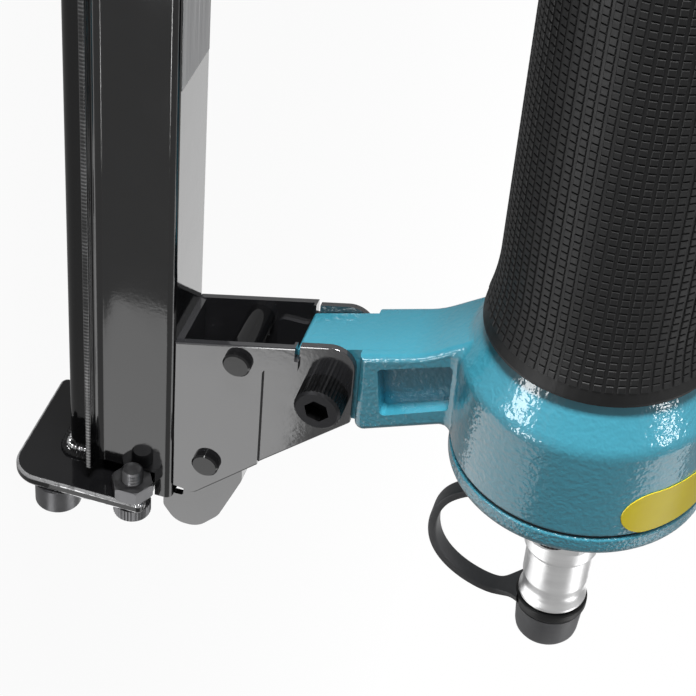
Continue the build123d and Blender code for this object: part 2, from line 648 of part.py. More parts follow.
def air_plug():
    """Push-in air plug: thread, hexagon, base, barrel, waist, flared collar and nose."""
    base_x = HEX_FRONT_X - PLUG_HEX_LENGTH
    waist_x = BARREL_END_X - 0.57 * PLUG_NECK_LENGTH
    nose_x = PLUG_COLLAR_X - PLUG_COLLAR_LENGTH
    end_x = nose_x - PLUG_NOSE_LENGTH
    points = [
        (CAP_FRONT_X, PLUG_BORE_RADIUS),
        (CAP_FRONT_X, PLUG_THREAD_RADIUS),
        (base_x, PLUG_THREAD_RADIUS),
        (base_x, PLUG_BASE_RADIUS),
        (BASE_END_X + PLUG_BASE_BEVEL, PLUG_BASE_RADIUS),
        (BASE_END_X, PLUG_BARREL_RADIUS),
        (BARREL_END_X, PLUG_BARREL_RADIUS),
        (waist_x, PLUG_NECK_RADIUS),
        (PLUG_COLLAR_X, PLUG_COLLAR_RADIUS),
        (nose_x, PLUG_COLLAR_RADIUS),
        (nose_x, PLUG_NOSE_RADIUS),
        (end_x, PLUG_NOSE_RADIUS),
        (end_x, PLUG_BORE_RADIUS),
    ]
    plug = turned(points, [0, 0, 0, 0, 0.3, 0.3, 1.0, 3.0, 0.3, 0.3, 0, 1.0, 0])
    hexagon = hex_bar(PLUG_HEX, PLUG_HEX_LENGTH) - rod_z(PLUG_BORE_RADIUS, 0, PLUG_HEX_LENGTH)
    return plug + Pos(base_x, 0, HANDLE_AXIS_Z) * Rot(0, 90, 0) * hexagon


def dust_cap():
    """Rubber cup over the plug's nose, with a groove behind its rim."""
    floor_x = DUST_FRONT_X - PLUG_NOSE_LENGTH - SEAT_GAP
    groove_x = DUST_FRONT_X - DUST_RIM_LENGTH
    cup_x = groove_x - DUST_GROOVE
    inner = PLUG_NOSE_RADIUS + RUN_FIT
    points = [
        (DUST_FRONT_X, inner),
        (DUST_FRONT_X, DUST_RIM_RADIUS),
        (groove_x, DUST_RIM_RADIUS),
        (groove_x, DUST_GROOVE_RADIUS),
        (cup_x, DUST_GROOVE_RADIUS),
        (cup_x, DUST_CUP_RADIUS),
        (DUST_REAR_X, DUST_END_RADIUS),
        (DUST_REAR_X, 0),
        (floor_x, 0),
        (floor_x, inner),
    ]
    return turned(points, [0.3, 0.4, 0.4, 0, 0, 0.15, DUST_ROUND, 0, 0, 0])


def dust_cap_strap():
    """Flat rubber strap from a ring on the plug round to the dust cap's rim."""
    ring_x = RING_REAR_X + STRAP_THICKNESS / 2
    rim_x = DUST_FRONT_X - DUST_RIM_LENGTH / 2
    low = HANDLE_AXIS_Z - STRAP_REACH
    route = [
        (ring_x, HANDLE_AXIS_Z - STRAP_RING_RADIUS + 1),
        (ring_x - 4.1, low + 10.3),
        (ring_x - 8.2, low + 1.1),
        (rim_x + 7.8, low),
        (rim_x + 0.6, low + 5.2),
        (rim_x - 2.8, low + 14.3),
        (rim_x + 1.2, HANDLE_AXIS_Z - DUST_RIM_RADIUS + 1.5),
    ]
    path = Plane.XZ * FilletPolyline(*route, radius=bend_radii(route))
    section = Plane(path @ 0, x_dir=(0, 1, 0), z_dir=path % 0) * Rectangle(STRAP_WIDTH, STRAP_THICKNESS)
    band = sweep(section, path)
    end = path @ 1
    along = path % 1
    narrow = Plane(end - STRAP_FLARE / 2 * along, x_dir=(0, 1, 0), z_dir=along)
    narrow = narrow * Rectangle(STRAP_WIDTH, STRAP_THICKNESS)
    wide = Plane(end, x_dir=(0, 1, 0), z_dir=along) * Rectangle(STRAP_FLARE, STRAP_THICKNESS)
    band += loft([narrow, wide], ruled=True)
    band -= rod_x(DUST_RIM_RADIUS + STILL_FIT, DUST_REAR_X, BARREL_END_X)
    ring = rod_x(STRAP_RING_RADIUS, RING_REAR_X, RING_REAR_X + STRAP_THICKNESS)
    return band + ring - rod_x(PLUG_THREAD_RADIUS + STILL_FIT, RING_REAR_X, RING_REAR_X + STRAP_THICKNESS)


# Magazine

def magazine_channel():
    """Fixed channel, open below, with outward flanges and a short tongue over the tail plate."""
    half = MAGAZINE_HALF
    inner = MAGAZINE_INNER
    reach = half + FLANGE_REACH
    top = MAGAZINE_TOP_Z
    lip = FLANGE_Z + MAGAZINE_WALL
    points = [
        (-reach, FLANGE_Z), (-reach, lip), (-half, lip), (-half, top),
        (half, top), (half, lip), (reach, lip), (reach, FLANGE_Z),
        (inner, FLANGE_Z), (inner, top - MAGAZINE_WALL), (-inner, top - MAGAZINE_WALL), (-inner, FLANGE_Z),
    ]
    bend = MAGAZINE_CORNER - MAGAZINE_WALL
    rounds = [0.3, 0.3, FLANGE_ROUND, MAGAZINE_CORNER] + [MAGAZINE_CORNER, FLANGE_ROUND, 0.3, 0.3]
    rounds += [bend, bend, bend, bend]
    channel = slab_x(points, TAIL_REAR_X, FEED_X, rounds)
    side_end = TAIL_X + TAIL_NUT_HEIGHT + SLIDE_GAP
    return channel - block(TAIL_REAR_X, side_end, -reach, reach, FLANGE_Z, TAIL_HEIGHT + SLIDE_GAP)


def tray_rail():
    """Sliding rail, a channel open above, that carries the staples."""
    half = TRAY_WIDTH / 2
    points = [
        (-half, TRAY_BOTTOM_Z), (half, TRAY_BOTTOM_Z), (half, TRAY_TOP_Z),
        (TRAY_INNER, TRAY_TOP_Z), (TRAY_INNER, TRAY_FLOOR_Z), (-TRAY_INNER, TRAY_FLOOR_Z),
        (-TRAY_INNER, TRAY_TOP_Z), (-half, TRAY_TOP_Z),
    ]
    bend = TRAY_CORNER - TRAY_WALL
    rail = slab_x(points, TAIL_X, FEED_X - 3, [TRAY_CORNER, TRAY_CORNER, 0.2, 0.2, bend, bend, 0.2, 0.2])
    pin_z = (TRAY_FLOOR_Z + TRAY_TOP_Z) / 2
    return rail - rod_y(TRAY_NOSE_PIN_RADIUS + STILL_FIT, -half, half, FEED_X - TRAY_NOSE_LENGTH / 2, pin_z)


def tray_nose():
    """Block at the tray's front end that closes the staple path from behind."""
    back = FEED_X - TRAY_NOSE_LENGTH
    tongue_half = TRAY_INNER - STILL_FIT
    tongue = block(back, FEED_X, -tongue_half, tongue_half, TRAY_FLOOR_Z + TRAY_CORNER, TRAY_TOP_Z - 1)
    low, high = TRAY_BOTTOM_Z - 1, TRAY_TOP_Z - 1
    front = block(FEED_X - 3 + STILL_FIT, FEED_X, -tongue_half, tongue_half, low, high)
    foot_points = [
        (back, TRAY_BOTTOM_Z), (back, TRAY_BOTTOM_Z - 4), (FEED_X - 5, SEAT_GAP),
        (FEED_X, SEAT_GAP), (FEED_X, TRAY_BOTTOM_Z),
    ]
    foot_half = STAPLE_CROWN / 2
    foot = slab_y(foot_points, -foot_half, foot_half, [0, 2, 1.5, 0, 0])
    pin_z = (TRAY_FLOOR_Z + TRAY_TOP_Z) / 2
    pin_x = FEED_X - TRAY_NOSE_LENGTH / 2
    hole = rod_y(TRAY_NOSE_PIN_RADIUS + STILL_FIT, -foot_half, foot_half, pin_x, pin_z)
    return tongue + front + foot - hole


def tray_nose_pin():
    """Pin through the tray and its nose block."""
    pin_z = (TRAY_FLOOR_Z + TRAY_TOP_Z) / 2
    half = TRAY_WIDTH / 2
    return rod_y(TRAY_NOSE_PIN_RADIUS, -half, half, FEED_X - TRAY_NOSE_LENGTH / 2, pin_z)


def tail_plate():
    """Plate at the tray's rear end."""
    half = TAIL_HALF_WIDTH
    points = [(-half, 0), (half, 0), (half, TAIL_HEIGHT), (-half, TAIL_HEIGHT)]
    corners = [TAIL_FAR_CORNER, TAIL_CORNER, TAIL_TOP_CORNER, TAIL_TOP_CORNER]
    plate = slab_x(points, TAIL_REAR_X, TAIL_X, corners)
    faces = plate.faces().sort_by(Axis.X)
    plate = fillet(faces[0].edges() + faces[-1].edges(), TAIL_EDGE_ROUND)
    plate -= rod_x(TAIL_BOLT_SIZE / 2 + STILL_FIT, TAIL_REAR_X, TAIL_X, TAIL_BOLT_Y, TAIL_BOLT_Z)
    return plate - rod_x(STOP_SHANK_RADIUS + STILL_FIT, TAIL_REAR_X, STOP_END_X, STOP_Y, STOP_Z)


def tail_bolt():
    """Low-headed bolt from behind the tail plate, with its thread showing past the nut."""
    screw = socket_screw(TAIL_BOLT_SIZE, TAIL_THICKNESS, TAIL_BOLT_HEAD)
    tip = TAIL_BOLT_GRIP - TAIL_THICKNESS
    screw += Pos(0, 0, -TAIL_BOLT_GRIP) * thread(TAIL_BOLT_SIZE / 2, tip, TAIL_BOLT_PITCH)
    return Pos(TAIL_REAR_X, TAIL_BOLT_Y, TAIL_BOLT_Z) * Rot(0, -90, 0) * screw


def tail_nut():
    """Nut on the tail bolt, a flat towards the magazine."""
    nut = hex_bar(TAIL_NUT_HEX, TAIL_NUT_HEIGHT)
    nut -= rod_z(TAIL_BOLT_SIZE / 2 + STILL_FIT, 0, TAIL_NUT_HEIGHT)
    return Pos(TAIL_X, TAIL_BOLT_Y, TAIL_BOLT_Z) * Rot(0, 90, 0) * nut


def tail_stop_screw():
    """Smooth round-headed screw behind the tail plate, in a blind hole."""
    head = rod_x(STOP_HEAD_RADIUS, TAIL_REAR_X - STOP_HEAD_LENGTH, TAIL_REAR_X, STOP_Y, STOP_Z)
    head = chamfer(head.edges().filter_by(GeomType.CIRCLE).sort_by(Axis.X)[0], 0.5)
    return head + rod_x(STOP_SHANK_RADIUS, TAIL_REAR_X, STOP_END_X, STOP_Y, STOP_Z)


def pusher():
    """Follower that straddles the rail behind the staples, with a tongue for its spring."""
    half = MAGAZINE_INNER - SLIDE_GAP
    front = FEED_X
    back = front - PUSHER_LENGTH
    low = STRIP_TOP_Z - PUSHER_DEPTH
    saddle = block(back, front, -half, half, low, STRIP_TOP_Z)
    saddle -= block(back, front, -half + PUSHER_WALL, half - PUSHER_WALL, low, STRIP_TOP_Z - PUSHER_WALL)
    tongue_front = front - TRAY_NOSE_LENGTH - SEAT_GAP
    tongue_half = PUSHER_TONGUE_HALF
    top = STRIP_TOP_Z - PUSHER_WALL / 2
    tongue = block(back, tongue_front, -tongue_half, tongue_half, TRAY_FLOOR_Z + 1, top)
    return saddle + tongue


def pusher_spring():
    """Compression spring in the rail, between the tail plate and the pusher."""
    z = TRAY_FLOOR_Z + SEAT_GAP + SPRING_RADIUS
    front = FEED_X - PUSHER_LENGTH - STILL_FIT
    return rod_x(SPRING_RADIUS, TAIL_X, front, 0, z) - rod_x(SPRING_RADIUS - SPRING_WIRE, TAIL_X, front, 0, z)


def magazine_label():
    """Blank metal label on the channel's top face."""
    rear = CAP_SEAM_X + LABEL_SET
    half = MAGAZINE_HALF - MAGAZINE_CORNER
    return block(rear, rear + LABEL_LENGTH, -half, half, MAGAZINE_TOP_Z, MAGAZINE_TOP_Z + LABEL_THICKNESS)


# Bracket and latch

def cheek_outline():
    """(x, z) corners of a bracket cheek and their rounds, foot first."""
    foot = MAGAZINE_TOP_Z
    points = [
        (SCREW_X + 3.3, foot),
        (SCREW_X + 11.6, SCREW_Z + 4.9),
        (SCREW_X - 5.6, SCREW_Z + 4.9),
        (SCREW_X - 20.4, SCREW_Z - 10.6),
        (TAIL_X + 0.2, foot + 4.2),
        (TAIL_X + 0.8, foot),
    ]
    return points, [0, 4.0, 1.2, 0, 1.6, 0]


def magazine_bracket():
    """Folded sheet bracket: a web on the magazine and two cheeks that step in to the lug's tongue."""
    web_end = SCREW_X + 3.3
    web_half = CHEEK_HALF - SHEET / 2
    bracket = block(TAIL_X + 3, web_end, -web_half, web_half, MAGAZINE_TOP_Z, MAGAZINE_TOP_Z + SHEET)
    for side in (-1, 1):
        bracket += cheek(side, CHEEK_HALF) - joggle(0)
        bracket += cheek(side, CHEEK_HALF - CHEEK_JOGGLE) & joggle(SHEET)
    for x, z, radius in bracket_holes():
        bracket -= rod_y(radius + STILL_FIT, -CHEEK_HALF, CHEEK_HALF, x, z)
    return bracket


def cheek(side, reach):
    """Flat cheek whose outer face, with rounded edges, lies at a reach from the middle."""
    points, rounds = cheek_outline()
    low, high = sorted((side * (reach - SHEET), side * reach))
    sheet = slab_y(points, low, high, rounds)
    face = sheet.faces().sort_by(Axis.Y)[-1 if side > 0 else 0]
    sheet = fillet(face.edges(), CHEEK_EDGE_ROUND)
    notch = SCREW_Z - JOGGLE_STRIP
    edge = SCREW_X + 9
    return sheet - block(edge - RELIEF_DEPTH, edge + 1, low, high, notch - RELIEF_WIDTH, notch)


def joggle(spare):
    """Region where the cheeks step in, grown by a spare margin."""
    step = SCREW_Z - JOGGLE_LENGTH - spare
    strip = SCREW_Z - JOGGLE_STRIP - spare
    front = SCREW_X + JOGGLE_FRONT + spare
    rear = TAIL_X - spare
    far = SCREW_X + JOGGLE_LENGTH + JOGGLE_FRONT
    points = [
        (rear, step), (front, step), (front, strip),
        (far, strip), (far, HANDLE_AXIS_Z), (rear, HANDLE_AXIS_Z),
    ]
    return slab_y(points, -CHEEK_HALF, CHEEK_HALF, [0, JOGGLE_ROUND, JOGGLE_ROUND, 0, 0, 0])


def bracket_holes():
    """(x, z, radius) of the holes through both cheeks."""
    return [
        (SCREW_X, SCREW_Z, BRACKET_SCREW_SIZE / 2),
        (SCREW_X + PIN_FRONT_SET, MAGAZINE_TOP_Z + PIN_FRONT_RISE, PIN_RADIUS),
        (LATCH_PIN_X, LATCH_PIN_Z, PIN_RADIUS),
    ]


def cheek_pin(x, z):
    """Flat-ended pin through both cheeks."""
    reach = CHEEK_HALF + PIN_HEAD
    pin = rod_y(PIN_RADIUS, -reach, reach, x, z)
    return chamfer(pin.edges().filter_by(GeomType.CIRCLE), 0.3)


def bracket_screw():
    """Socket screw that clamps the cheeks on the tongue."""
    outer = CHEEK_HALF - CHEEK_JOGGLE
    length = 2 * outer + 0.8 * BRACKET_SCREW_SIZE
    screw = Rot(-90, 0, 0) * Rot(0, 0, 14) * socket_screw(BRACKET_SCREW_SIZE, length)
    return Pos(SCREW_X, outer, SCREW_Z) * screw


def bracket_nut():
    """Hexagon nut on the bracket screw."""
    height = 0.8 * BRACKET_SCREW_SIZE
    nut = hex_bar(1.6 * BRACKET_SCREW_SIZE, height) - rod_z(BRACKET_SCREW_SIZE / 2 + STILL_FIT, 0, height)
    outer = CHEEK_HALF - CHEEK_JOGGLE
    return Pos(SCREW_X, -outer, SCREW_Z) * Rot(90, 0, 0) * nut


def latch_lever():
    """Folded latch on the rear pin: two sides joined by a rounded heel, with a hook behind the plate."""
    hook_x = TAIL_REAR_X - LATCH_HOOK_GAP
    hook_z = TAIL_HEIGHT + LATCH_HOOK_RISE
    heel_x = TAIL_X - LATCH_HEEL
    points = [
        (LATCH_PIN_X + 4.2, LATCH_PIN_Z - 3.2),
        (LATCH_PIN_X + 7.5, LATCH_PIN_Z + 6.0),
        (LATCH_PIN_X - 4.0, LATCH_PIN_Z + 6.4),
        (heel_x + 4.5, hook_z + 10.8),
        (heel_x, hook_z + 6.8),
        (heel_x, hook_z + 2.5),
        (heel_x + 3.6, hook_z),
        (hook_x, hook_z),
        (hook_x, hook_z + 3.9),
        (hook_x + 2.6, hook_z + 3.9),
    ]
    rounds = [2.0, 2.5, 4.0, 5.0, 4.5, 3.5, 2.0, 0.4, 0.6, 0.4]
    half = CHEEK_HALF - SHEET - SLIDE_GAP
    lever = slab_y(points, -half, half, rounds)
    hollow = [
        (LATCH_PIN_X + 9, LATCH_PIN_Z - 9),
        (LATCH_PIN_X + 9, LATCH_PIN_Z + 9),
        (LATCH_PIN_X - 4.0, LATCH_PIN_Z + 6.4 - LATCH_SHEET),
        (heel_x + 4.5 + LATCH_SHEET, hook_z + 10.8 - LATCH_SHEET),
        (heel_x + LATCH_SHEET, hook_z + 6.8),
        (heel_x + LATCH_SHEET, hook_z + 2.5),
        (heel_x + LATCH_SHEET, hook_z - 4),
        (LATCH_PIN_X - 5, hook_z - 4),
    ]
    gap = half - LATCH_SHEET
    lever -= slab_y(hollow, -gap, gap, [0, 0, 3.0, 4.0, 3.0, 0, 0, 0])
    return lever - rod_y(PIN_RADIUS + RUN_FIT, -half, half, LATCH_PIN_X, LATCH_PIN_Z)


def latch_spring():
    """Torsion spring on the latch's pin."""
    half = LATCH_SPRING_LENGTH / 2
    coil = rod_y(LATCH_SPRING_RADIUS, -half, half, LATCH_PIN_X, LATCH_PIN_Z)
    return coil - rod_y(PIN_RADIUS + RUN_FIT, -half, half, LATCH_PIN_X, LATCH_PIN_Z)


# Drive: cylinder, piston, blade, bumper and head valve

def cylinder_sleeve():
    """Cylinder liner in the head."""
    return tube_z(CYLINDER_RADIUS, CYLINDER_BORE / 2, FLOOR_Z, CYLINDER_TOP_Z)


def bumper():
    """Rubber bumper that stops the piston."""
    return tube_z(CYLINDER_BORE / 2 - STILL_FIT, BUMPER_HOLE_RADIUS, FLOOR_Z, FLOOR_Z + BUMPER_HEIGHT)


def piston():
    """Piston with a ring groove and a slot for the blade."""
    radius = CYLINDER_BORE / 2 - PISTON_PLAY
    body = rod_z(radius, PISTON_Z, PISTON_Z + PISTON_HEIGHT)
    ring_z = PISTON_Z + PISTON_HEIGHT / 2
    floor = piston_ring_radius() - RING_WIRE - STILL_FIT
    body -= tube_z(radius + 1, floor, ring_z - RING_WIRE - STILL_FIT, ring_z + RING_WIRE + STILL_FIT)
    slot = DRIVER_THICKNESS / 2 + STILL_FIT
    slot_half = DRIVER_WIDTH / 2 + STILL_FIT
    return body - block(-slot, slot, -slot_half, slot_half, PISTON_Z, PISTON_Z + PISTON_HEIGHT - 4)


def piston_ring_radius():
    """Centre line radius of the piston's ring, which just clears the bore."""
    return CYLINDER_BORE / 2 - RUN_FIT - RING_WIRE


def piston_ring():
    """O-ring on the piston."""
    return o_ring(piston_ring_radius(), RING_WIRE, z=PISTON_Z + PISTON_HEIGHT / 2)


def driver_blade():
    """Flat blade that drives the staple."""
    half = DRIVER_THICKNESS / 2
    top = PISTON_Z + PISTON_HEIGHT - 4
    return block(-half, half, -DRIVER_WIDTH / 2, DRIVER_WIDTH / 2, DRIVER_TIP_Z, top)


def head_valve():
    """Poppet above the cylinder, with a stem that slides in the top cap."""
    disc_top = POPPET_Z + POPPET_THICKNESS
    poppet = rod_z(POPPET_RADIUS, POPPET_Z, disc_top)
    poppet -= tube_z(POPPET_RADIUS + 1, CYLINDER_BORE / 2 - 2, POPPET_Z, POPPET_Z + POPPET_SEAL)
    stem = rod_z(POPPET_STEM_RADIUS, disc_top, disc_top + POPPET_STEM_LENGTH)
    return poppet + stem


def head_valve_seal():
    """Flat rubber ring under the poppet's rim."""
    inner = CYLINDER_BORE / 2 - 2 + STILL_FIT
    return tube_z(POPPET_RADIUS, inner, POPPET_Z, POPPET_Z + POPPET_SEAL)


def head_valve_spring():
    """Spring between the poppet and the top cap."""
    inner = POPPET_STEM_RADIUS + 1
    return tube_z(inner + 2, inner, POPPET_Z + POPPET_THICKNESS, TOP_CAP_Z)


def cap_gasket():
    """Gasket between the head and the top cap."""
    gasket = rounded_post(HEAD_SIDE - 0.6, HEAD_CORNER - 0.3, HEAD_TOP_Z, TOP_CAP_Z)
    gasket -= rod_z(CHAMBER_RADIUS, HEAD_TOP_Z, TOP_CAP_Z)
    for x, y in top_screw_places():
        gasket -= rod_z(TOP_SCREW_SIZE / 2 + STILL_FIT, HEAD_TOP_Z, TOP_CAP_Z, x, y)
    return gasket


def top_cap():
    """Cap with a square flange and a round dome, bored for the head valve's stem."""
    flange = rounded_post(HEAD_SIDE, HEAD_CORNER, TOP_CAP_Z, TOP_FLANGE_Z)
    flange = fillet(flange.edges().group_by(Axis.Z)[-1], 1.5)
    dome = rod_z(TOP_DOME_RADIUS, TOP_FLANGE_Z - 2, TOP_DOME_Z)
    dome = fillet(dome.edges().group_by(Axis.Z)[-1], TOP_DOME_ROUND)
    cap = flange + dome
    bore_top = POPPET_Z + POPPET_THICKNESS + POPPET_STEM_LENGTH + VALVE_LIFT + SEAT_GAP
    cap -= rod_z(POPPET_STEM_RADIUS + RUN_FIT, TOP_CAP_Z, bore_top)
    for index in range(4):
        angle = math.pi / 4 + math.pi / 2 * index
        x = EXHAUST_CIRCLE * math.cos(angle)
        y = EXHAUST_CIRCLE * math.sin(angle)
        cap -= rod_z(EXHAUST_HOLE_RADIUS, TOP_CAP_Z, TOP_DOME_Z, x, y)
    for x, y in top_screw_places():
        cap -= rod_z(TOP_SCREW_SIZE / 2 + STILL_FIT, TOP_CAP_Z, TOP_FLANGE_Z, x, y)
    return cap - rod_z(DEFLECTOR_SCREW_SIZE / 2 + STILL_FIT, TOP_DOME_Z - 4, TOP_DOME_Z)


def top_cap_screws():
    """Socket screws at the top cap's corners."""
    screw = socket_screw(TOP_SCREW_SIZE, TOP_FLANGE + TOP_GASKET + TOP_SCREW_BITE)
    return Compound(children=[Pos(x, y, TOP_FLANGE_Z) * screw for x, y in top_screw_places()])


def exhaust_deflector():
    """Cup that turns on the top cap and sends the exhaust to one side."""
    low = TOP_DOME_Z + SEAT_GAP
    high = low + DEFLECTOR_HEIGHT
    cup = rod_z(DEFLECTOR_RADIUS, low, high)
    cup = fillet(cup.edges().group_by(Axis.Z)[-1], DEFLECTOR_ROUND)
    inner = DEFLECTOR_RADIUS - DEFLECTOR_WALL
    hub = DEFLECTOR_SCREW_SIZE / 2 + 2
    cup -= tube_z(inner, hub, low, high - DEFLECTOR_WALL)
    half = DEFLECTOR_VENT / 2
    cup -= block(hub + 2, DEFLECTOR_RADIUS + 1, -half, half, low + 1.5, high - DEFLECTOR_WALL - 0.4)
    return cup - rod_z(DEFLECTOR_SCREW_SIZE / 2 + RUN_FIT, low, high)


def deflector_screw():
    """Screw that holds the deflector."""
    seat = TOP_DOME_Z + SEAT_GAP + DEFLECTOR_HEIGHT + SEAT_GAP
    head = rod_z(DEFLECTOR_SCREW_SIZE * 0.9, seat, seat + 2.4)
    head = fillet(head.edges().group_by(Axis.Z)[-1], 1.4)
    slot = extrude(RegularPolygon(1.5, 6, major_radius=False), 1.6)
    return head - Pos(0, 0, seat + 0.8) * slot + rod_z(DEFLECTOR_SCREW_SIZE / 2, TOP_DOME_Z - 4, seat)


# Nose

def nose_block():
    """Block under the head that guides the blade from behind and carries the magazine."""
    back = -DRIVER_SLOT - NOSE_BLOCK_LENGTH
    body = block(back, -DRIVER_SLOT, -NOSE_HALF, NOSE_HALF, MAGAZINE_TOP_Z, HEAD_BOTTOM_Z)
    flange_z = HEAD_BOTTOM_Z - NOSE_FLANGE
    flange_back = -DRIVER_SLOT - NOSE_FLANGE_LENGTH
    flange = block(flange_back, -DRIVER_SLOT, -NOSE_FLANGE_HALF, NOSE_FLANGE_HALF, flange_z, HEAD_BOTTOM_Z)
    flange = fillet(flange.edges().filter_by(Axis.Z), 3.0)
    result = body + flange
    for x, y in nose_screw_places():
        result -= rod_z(NOSE_SCREW_SIZE / 2 + STILL_FIT, flange_z, HEAD_BOTTOM_Z, x, y)
    for y, z in plate_screw_places():
        result -= rod_x(NOSE_SCREW_SIZE / 2 + STILL_FIT, back, 0, y, z)
    return result


def nose_screws():
    """Screws that hold the nose block to the head."""
    screw = Rot(180, 0, 0) * socket_screw(NOSE_SCREW_SIZE, NOSE_FLANGE + HEAD_FLOOR - 0.5)
    z = HEAD_BOTTOM_Z - NOSE_FLANGE
    return Compound(children=[Pos(x, y, z) * screw for x, y in nose_screw_places()])


def plate_screw_places():
    """(y, z) of each screw that holds the front plate."""
    low = MAGAZINE_TOP_Z + PLATE_SCREW_SET
    high = HEAD_BOTTOM_Z - PLATE_SCREW_SET
    y = NOSE_HALF - PLATE_SCREW_INSET
    return [(-y, low), (y, low), (-y, high), (y, high)]


def front_plate():
    """Front guide of the blade, narrowing to the nose tip, with a rail at each side."""
    neck = MAGAZINE_TOP_Z
    points = [
        (-NOSE_TIP_HALF, 0), (NOSE_TIP_HALF, 0), (NOSE_TIP_HALF, neck - 6), (NOSE_HALF, neck),
        (NOSE_HALF, HEAD_BOTTOM_Z), (-NOSE_HALF, HEAD_BOTTOM_Z), (-NOSE_HALF, neck),
        (-NOSE_TIP_HALF, neck - 6),
    ]
    rounds = [1.0, 1.0, 3, 3, FRONT_PLATE_ROUND, FRONT_PLATE_ROUND, 3, 3]
    plate = slab_x(points, -DRIVER_SLOT, DRIVER_SLOT + FRONT_PLATE, rounds)
    slot_half = STAPLE_CROWN / 2 + DRIVER_GAP
    plate -= block(-DRIVER_SLOT, DRIVER_SLOT, -slot_half, slot_half, 0, HEAD_BOTTOM_Z)
    front = plate.faces().sort_by(Axis.X)[-1]
    plate = chamfer(front.edges(), 0.6)
    for y, z in plate_screw_places():
        plate -= rod_x(NOSE_SCREW_SIZE / 2 + STILL_FIT, -DRIVER_SLOT, DRIVER_SLOT + FRONT_PLATE, y, z)
    return plate


def front_plate_screws():
    """Socket screws that hold the front plate to the nose block."""
    screw = Rot(0, 90, 0) * socket_screw(NOSE_SCREW_SIZE, FRONT_PLATE + PLATE_SCREW_BITE)
    x = DRIVER_SLOT + FRONT_PLATE
    return Compound(children=[Pos(x, y, z) * screw for y, z in plate_screw_places()])


# Trigger and its valve

def trigger():
    """Finger lever on its pin, under the valve's stem."""
    end_x = TRIGGER_PIVOT_X - TRIGGER_REACH
    stem_z = VALVE_BOTTOM_Z - VALVE_FLANGE - STEM_PROUD - SEAT_GAP
    points = [
        (TRIGGER_PIVOT_X + 3, TRIGGER_PIVOT_Z - 4.6),
        (TRIGGER_PIVOT_X + 3, TRIGGER_PIVOT_Z + 3),
        (TRIGGER_PIVOT_X - 4, TRIGGER_PIVOT_Z + 1),
        (VALVE_X + 3, stem_z),
        (VALVE_X - 3, stem_z),
        (end_x, stem_z - TRIGGER_DROP),
        (end_x - 1.5, stem_z - TRIGGER_DROP - TRIGGER_TIP),
        (VALVE_X + 2, stem_z - TRIGGER_DEPTH),
    ]
    half = TRIGGER_HALF
    lever = slab_y(points, -half, half, [2, 1, 1, 1, 4, 2, 1.4, 12])
    sides = lever.faces().sort_by(Axis.Y)
    lever = fillet(sides[0].edges() + sides[-1].edges(), 0.9)
    lever += rod_y(TRIGGER_BOSS_RADIUS, -half, half, TRIGGER_PIVOT_X, TRIGGER_PIVOT_Z)
    return lever - rod_y(TRIGGER_PIN_RADIUS + RUN_FIT, -half, half, TRIGGER_PIVOT_X, TRIGGER_PIVOT_Z)


def trigger_pin():
    """Pin through the casting's ears and the trigger."""
    reach = TRIGGER_HALF + SLIDE_GAP + EAR_THICKNESS
    return rod_y(TRIGGER_PIN_RADIUS, -reach, reach, TRIGGER_PIVOT_X, TRIGGER_PIVOT_Z)


def valve_bushing():
    """Brass bushing in the casting's boss, with a chamber open above."""
    low = VALVE_BOTTOM_Z - VALVE_FLANGE
    high = VALVE_BOTTOM_Z + VALVE_HEIGHT
    flange = Pos(VALVE_X, 0, low) * Rot(0, 0, 30) * hex_bar(VALVE_FLANGE_HEX, VALVE_FLANGE)
    bushing = flange + rod_z(VALVE_RADIUS, VALVE_BOTTOM_Z, high, VALVE_X)
    bushing -= rod_z(STEM_RADIUS + RUN_FIT, low, high, VALVE_X)
    return bushing - rod_z(VALVE_CHAMBER_RADIUS, VALVE_BOTTOM_Z + VALVE_CHAMBER_SET, high, VALVE_X)


def valve_plug():
    """Plug with an air hole that closes the bushing's chamber."""
    high = VALVE_BOTTOM_Z + VALVE_HEIGHT
    return tube_z(VALVE_CHAMBER_RADIUS - STILL_FIT, 1.0, high - VALVE_PLUG, high, VALVE_X)


def stem_head_places():
    """Lower face of the stem's head, middle of its ring and its top."""
    low = VALVE_BOTTOM_Z + VALVE_CHAMBER_SET + SEAT_GAP
    ring = low + STEM_HEAD_LIP + STEM_RING_WIRE + STILL_FIT
    top = ring + STEM_RING_WIRE + STILL_FIT + STEM_HEAD_LIP
    return low, ring, top


def valve_stem():
    """Stem that the trigger lifts, with a grooved head in the chamber."""
    low, ring, top = stem_head_places()
    bottom = VALVE_BOTTOM_Z - VALVE_FLANGE - STEM_PROUD
    core = VALVE_CHAMBER_RADIUS - RUN_FIT - 2 * STEM_RING_WIRE - STILL_FIT
    pin = rod_z(STEM_RADIUS, bottom, low, VALVE_X)
    pin = fillet(pin.edges().group_by(Axis.Z)[0], 0.6 * STEM_RADIUS)
    stem = pin + rod_z(STEM_HEAD_RADIUS, low, top, VALVE_X)
    groove = STEM_RING_WIRE + STILL_FIT
    return stem - tube_z(STEM_HEAD_RADIUS + 1, core, ring - groove, ring + groove, VALVE_X)


def stem_ring():
    """O-ring on the stem's head."""
    ring = stem_head_places()[1]
    return o_ring(VALVE_CHAMBER_RADIUS - RUN_FIT - STEM_RING_WIRE, STEM_RING_WIRE, x=VALVE_X, z=ring)


def stem_spring():
    """Spring that pushes the stem down."""
    top = stem_head_places()[2]
    outer = VALVE_CHAMBER_RADIUS - RUN_FIT - 0.6
    return tube_z(outer, outer - 1.0, top, VALVE_BOTTOM_Z + VALVE_HEIGHT - VALVE_PLUG, VALVE_X)


def front_bracket_pin():
    """Pin that ties the cheeks together ahead of the latch."""
    return cheek_pin(SCREW_X + PIN_FRONT_SET, MAGAZINE_TOP_Z + PIN_FRONT_RISE)


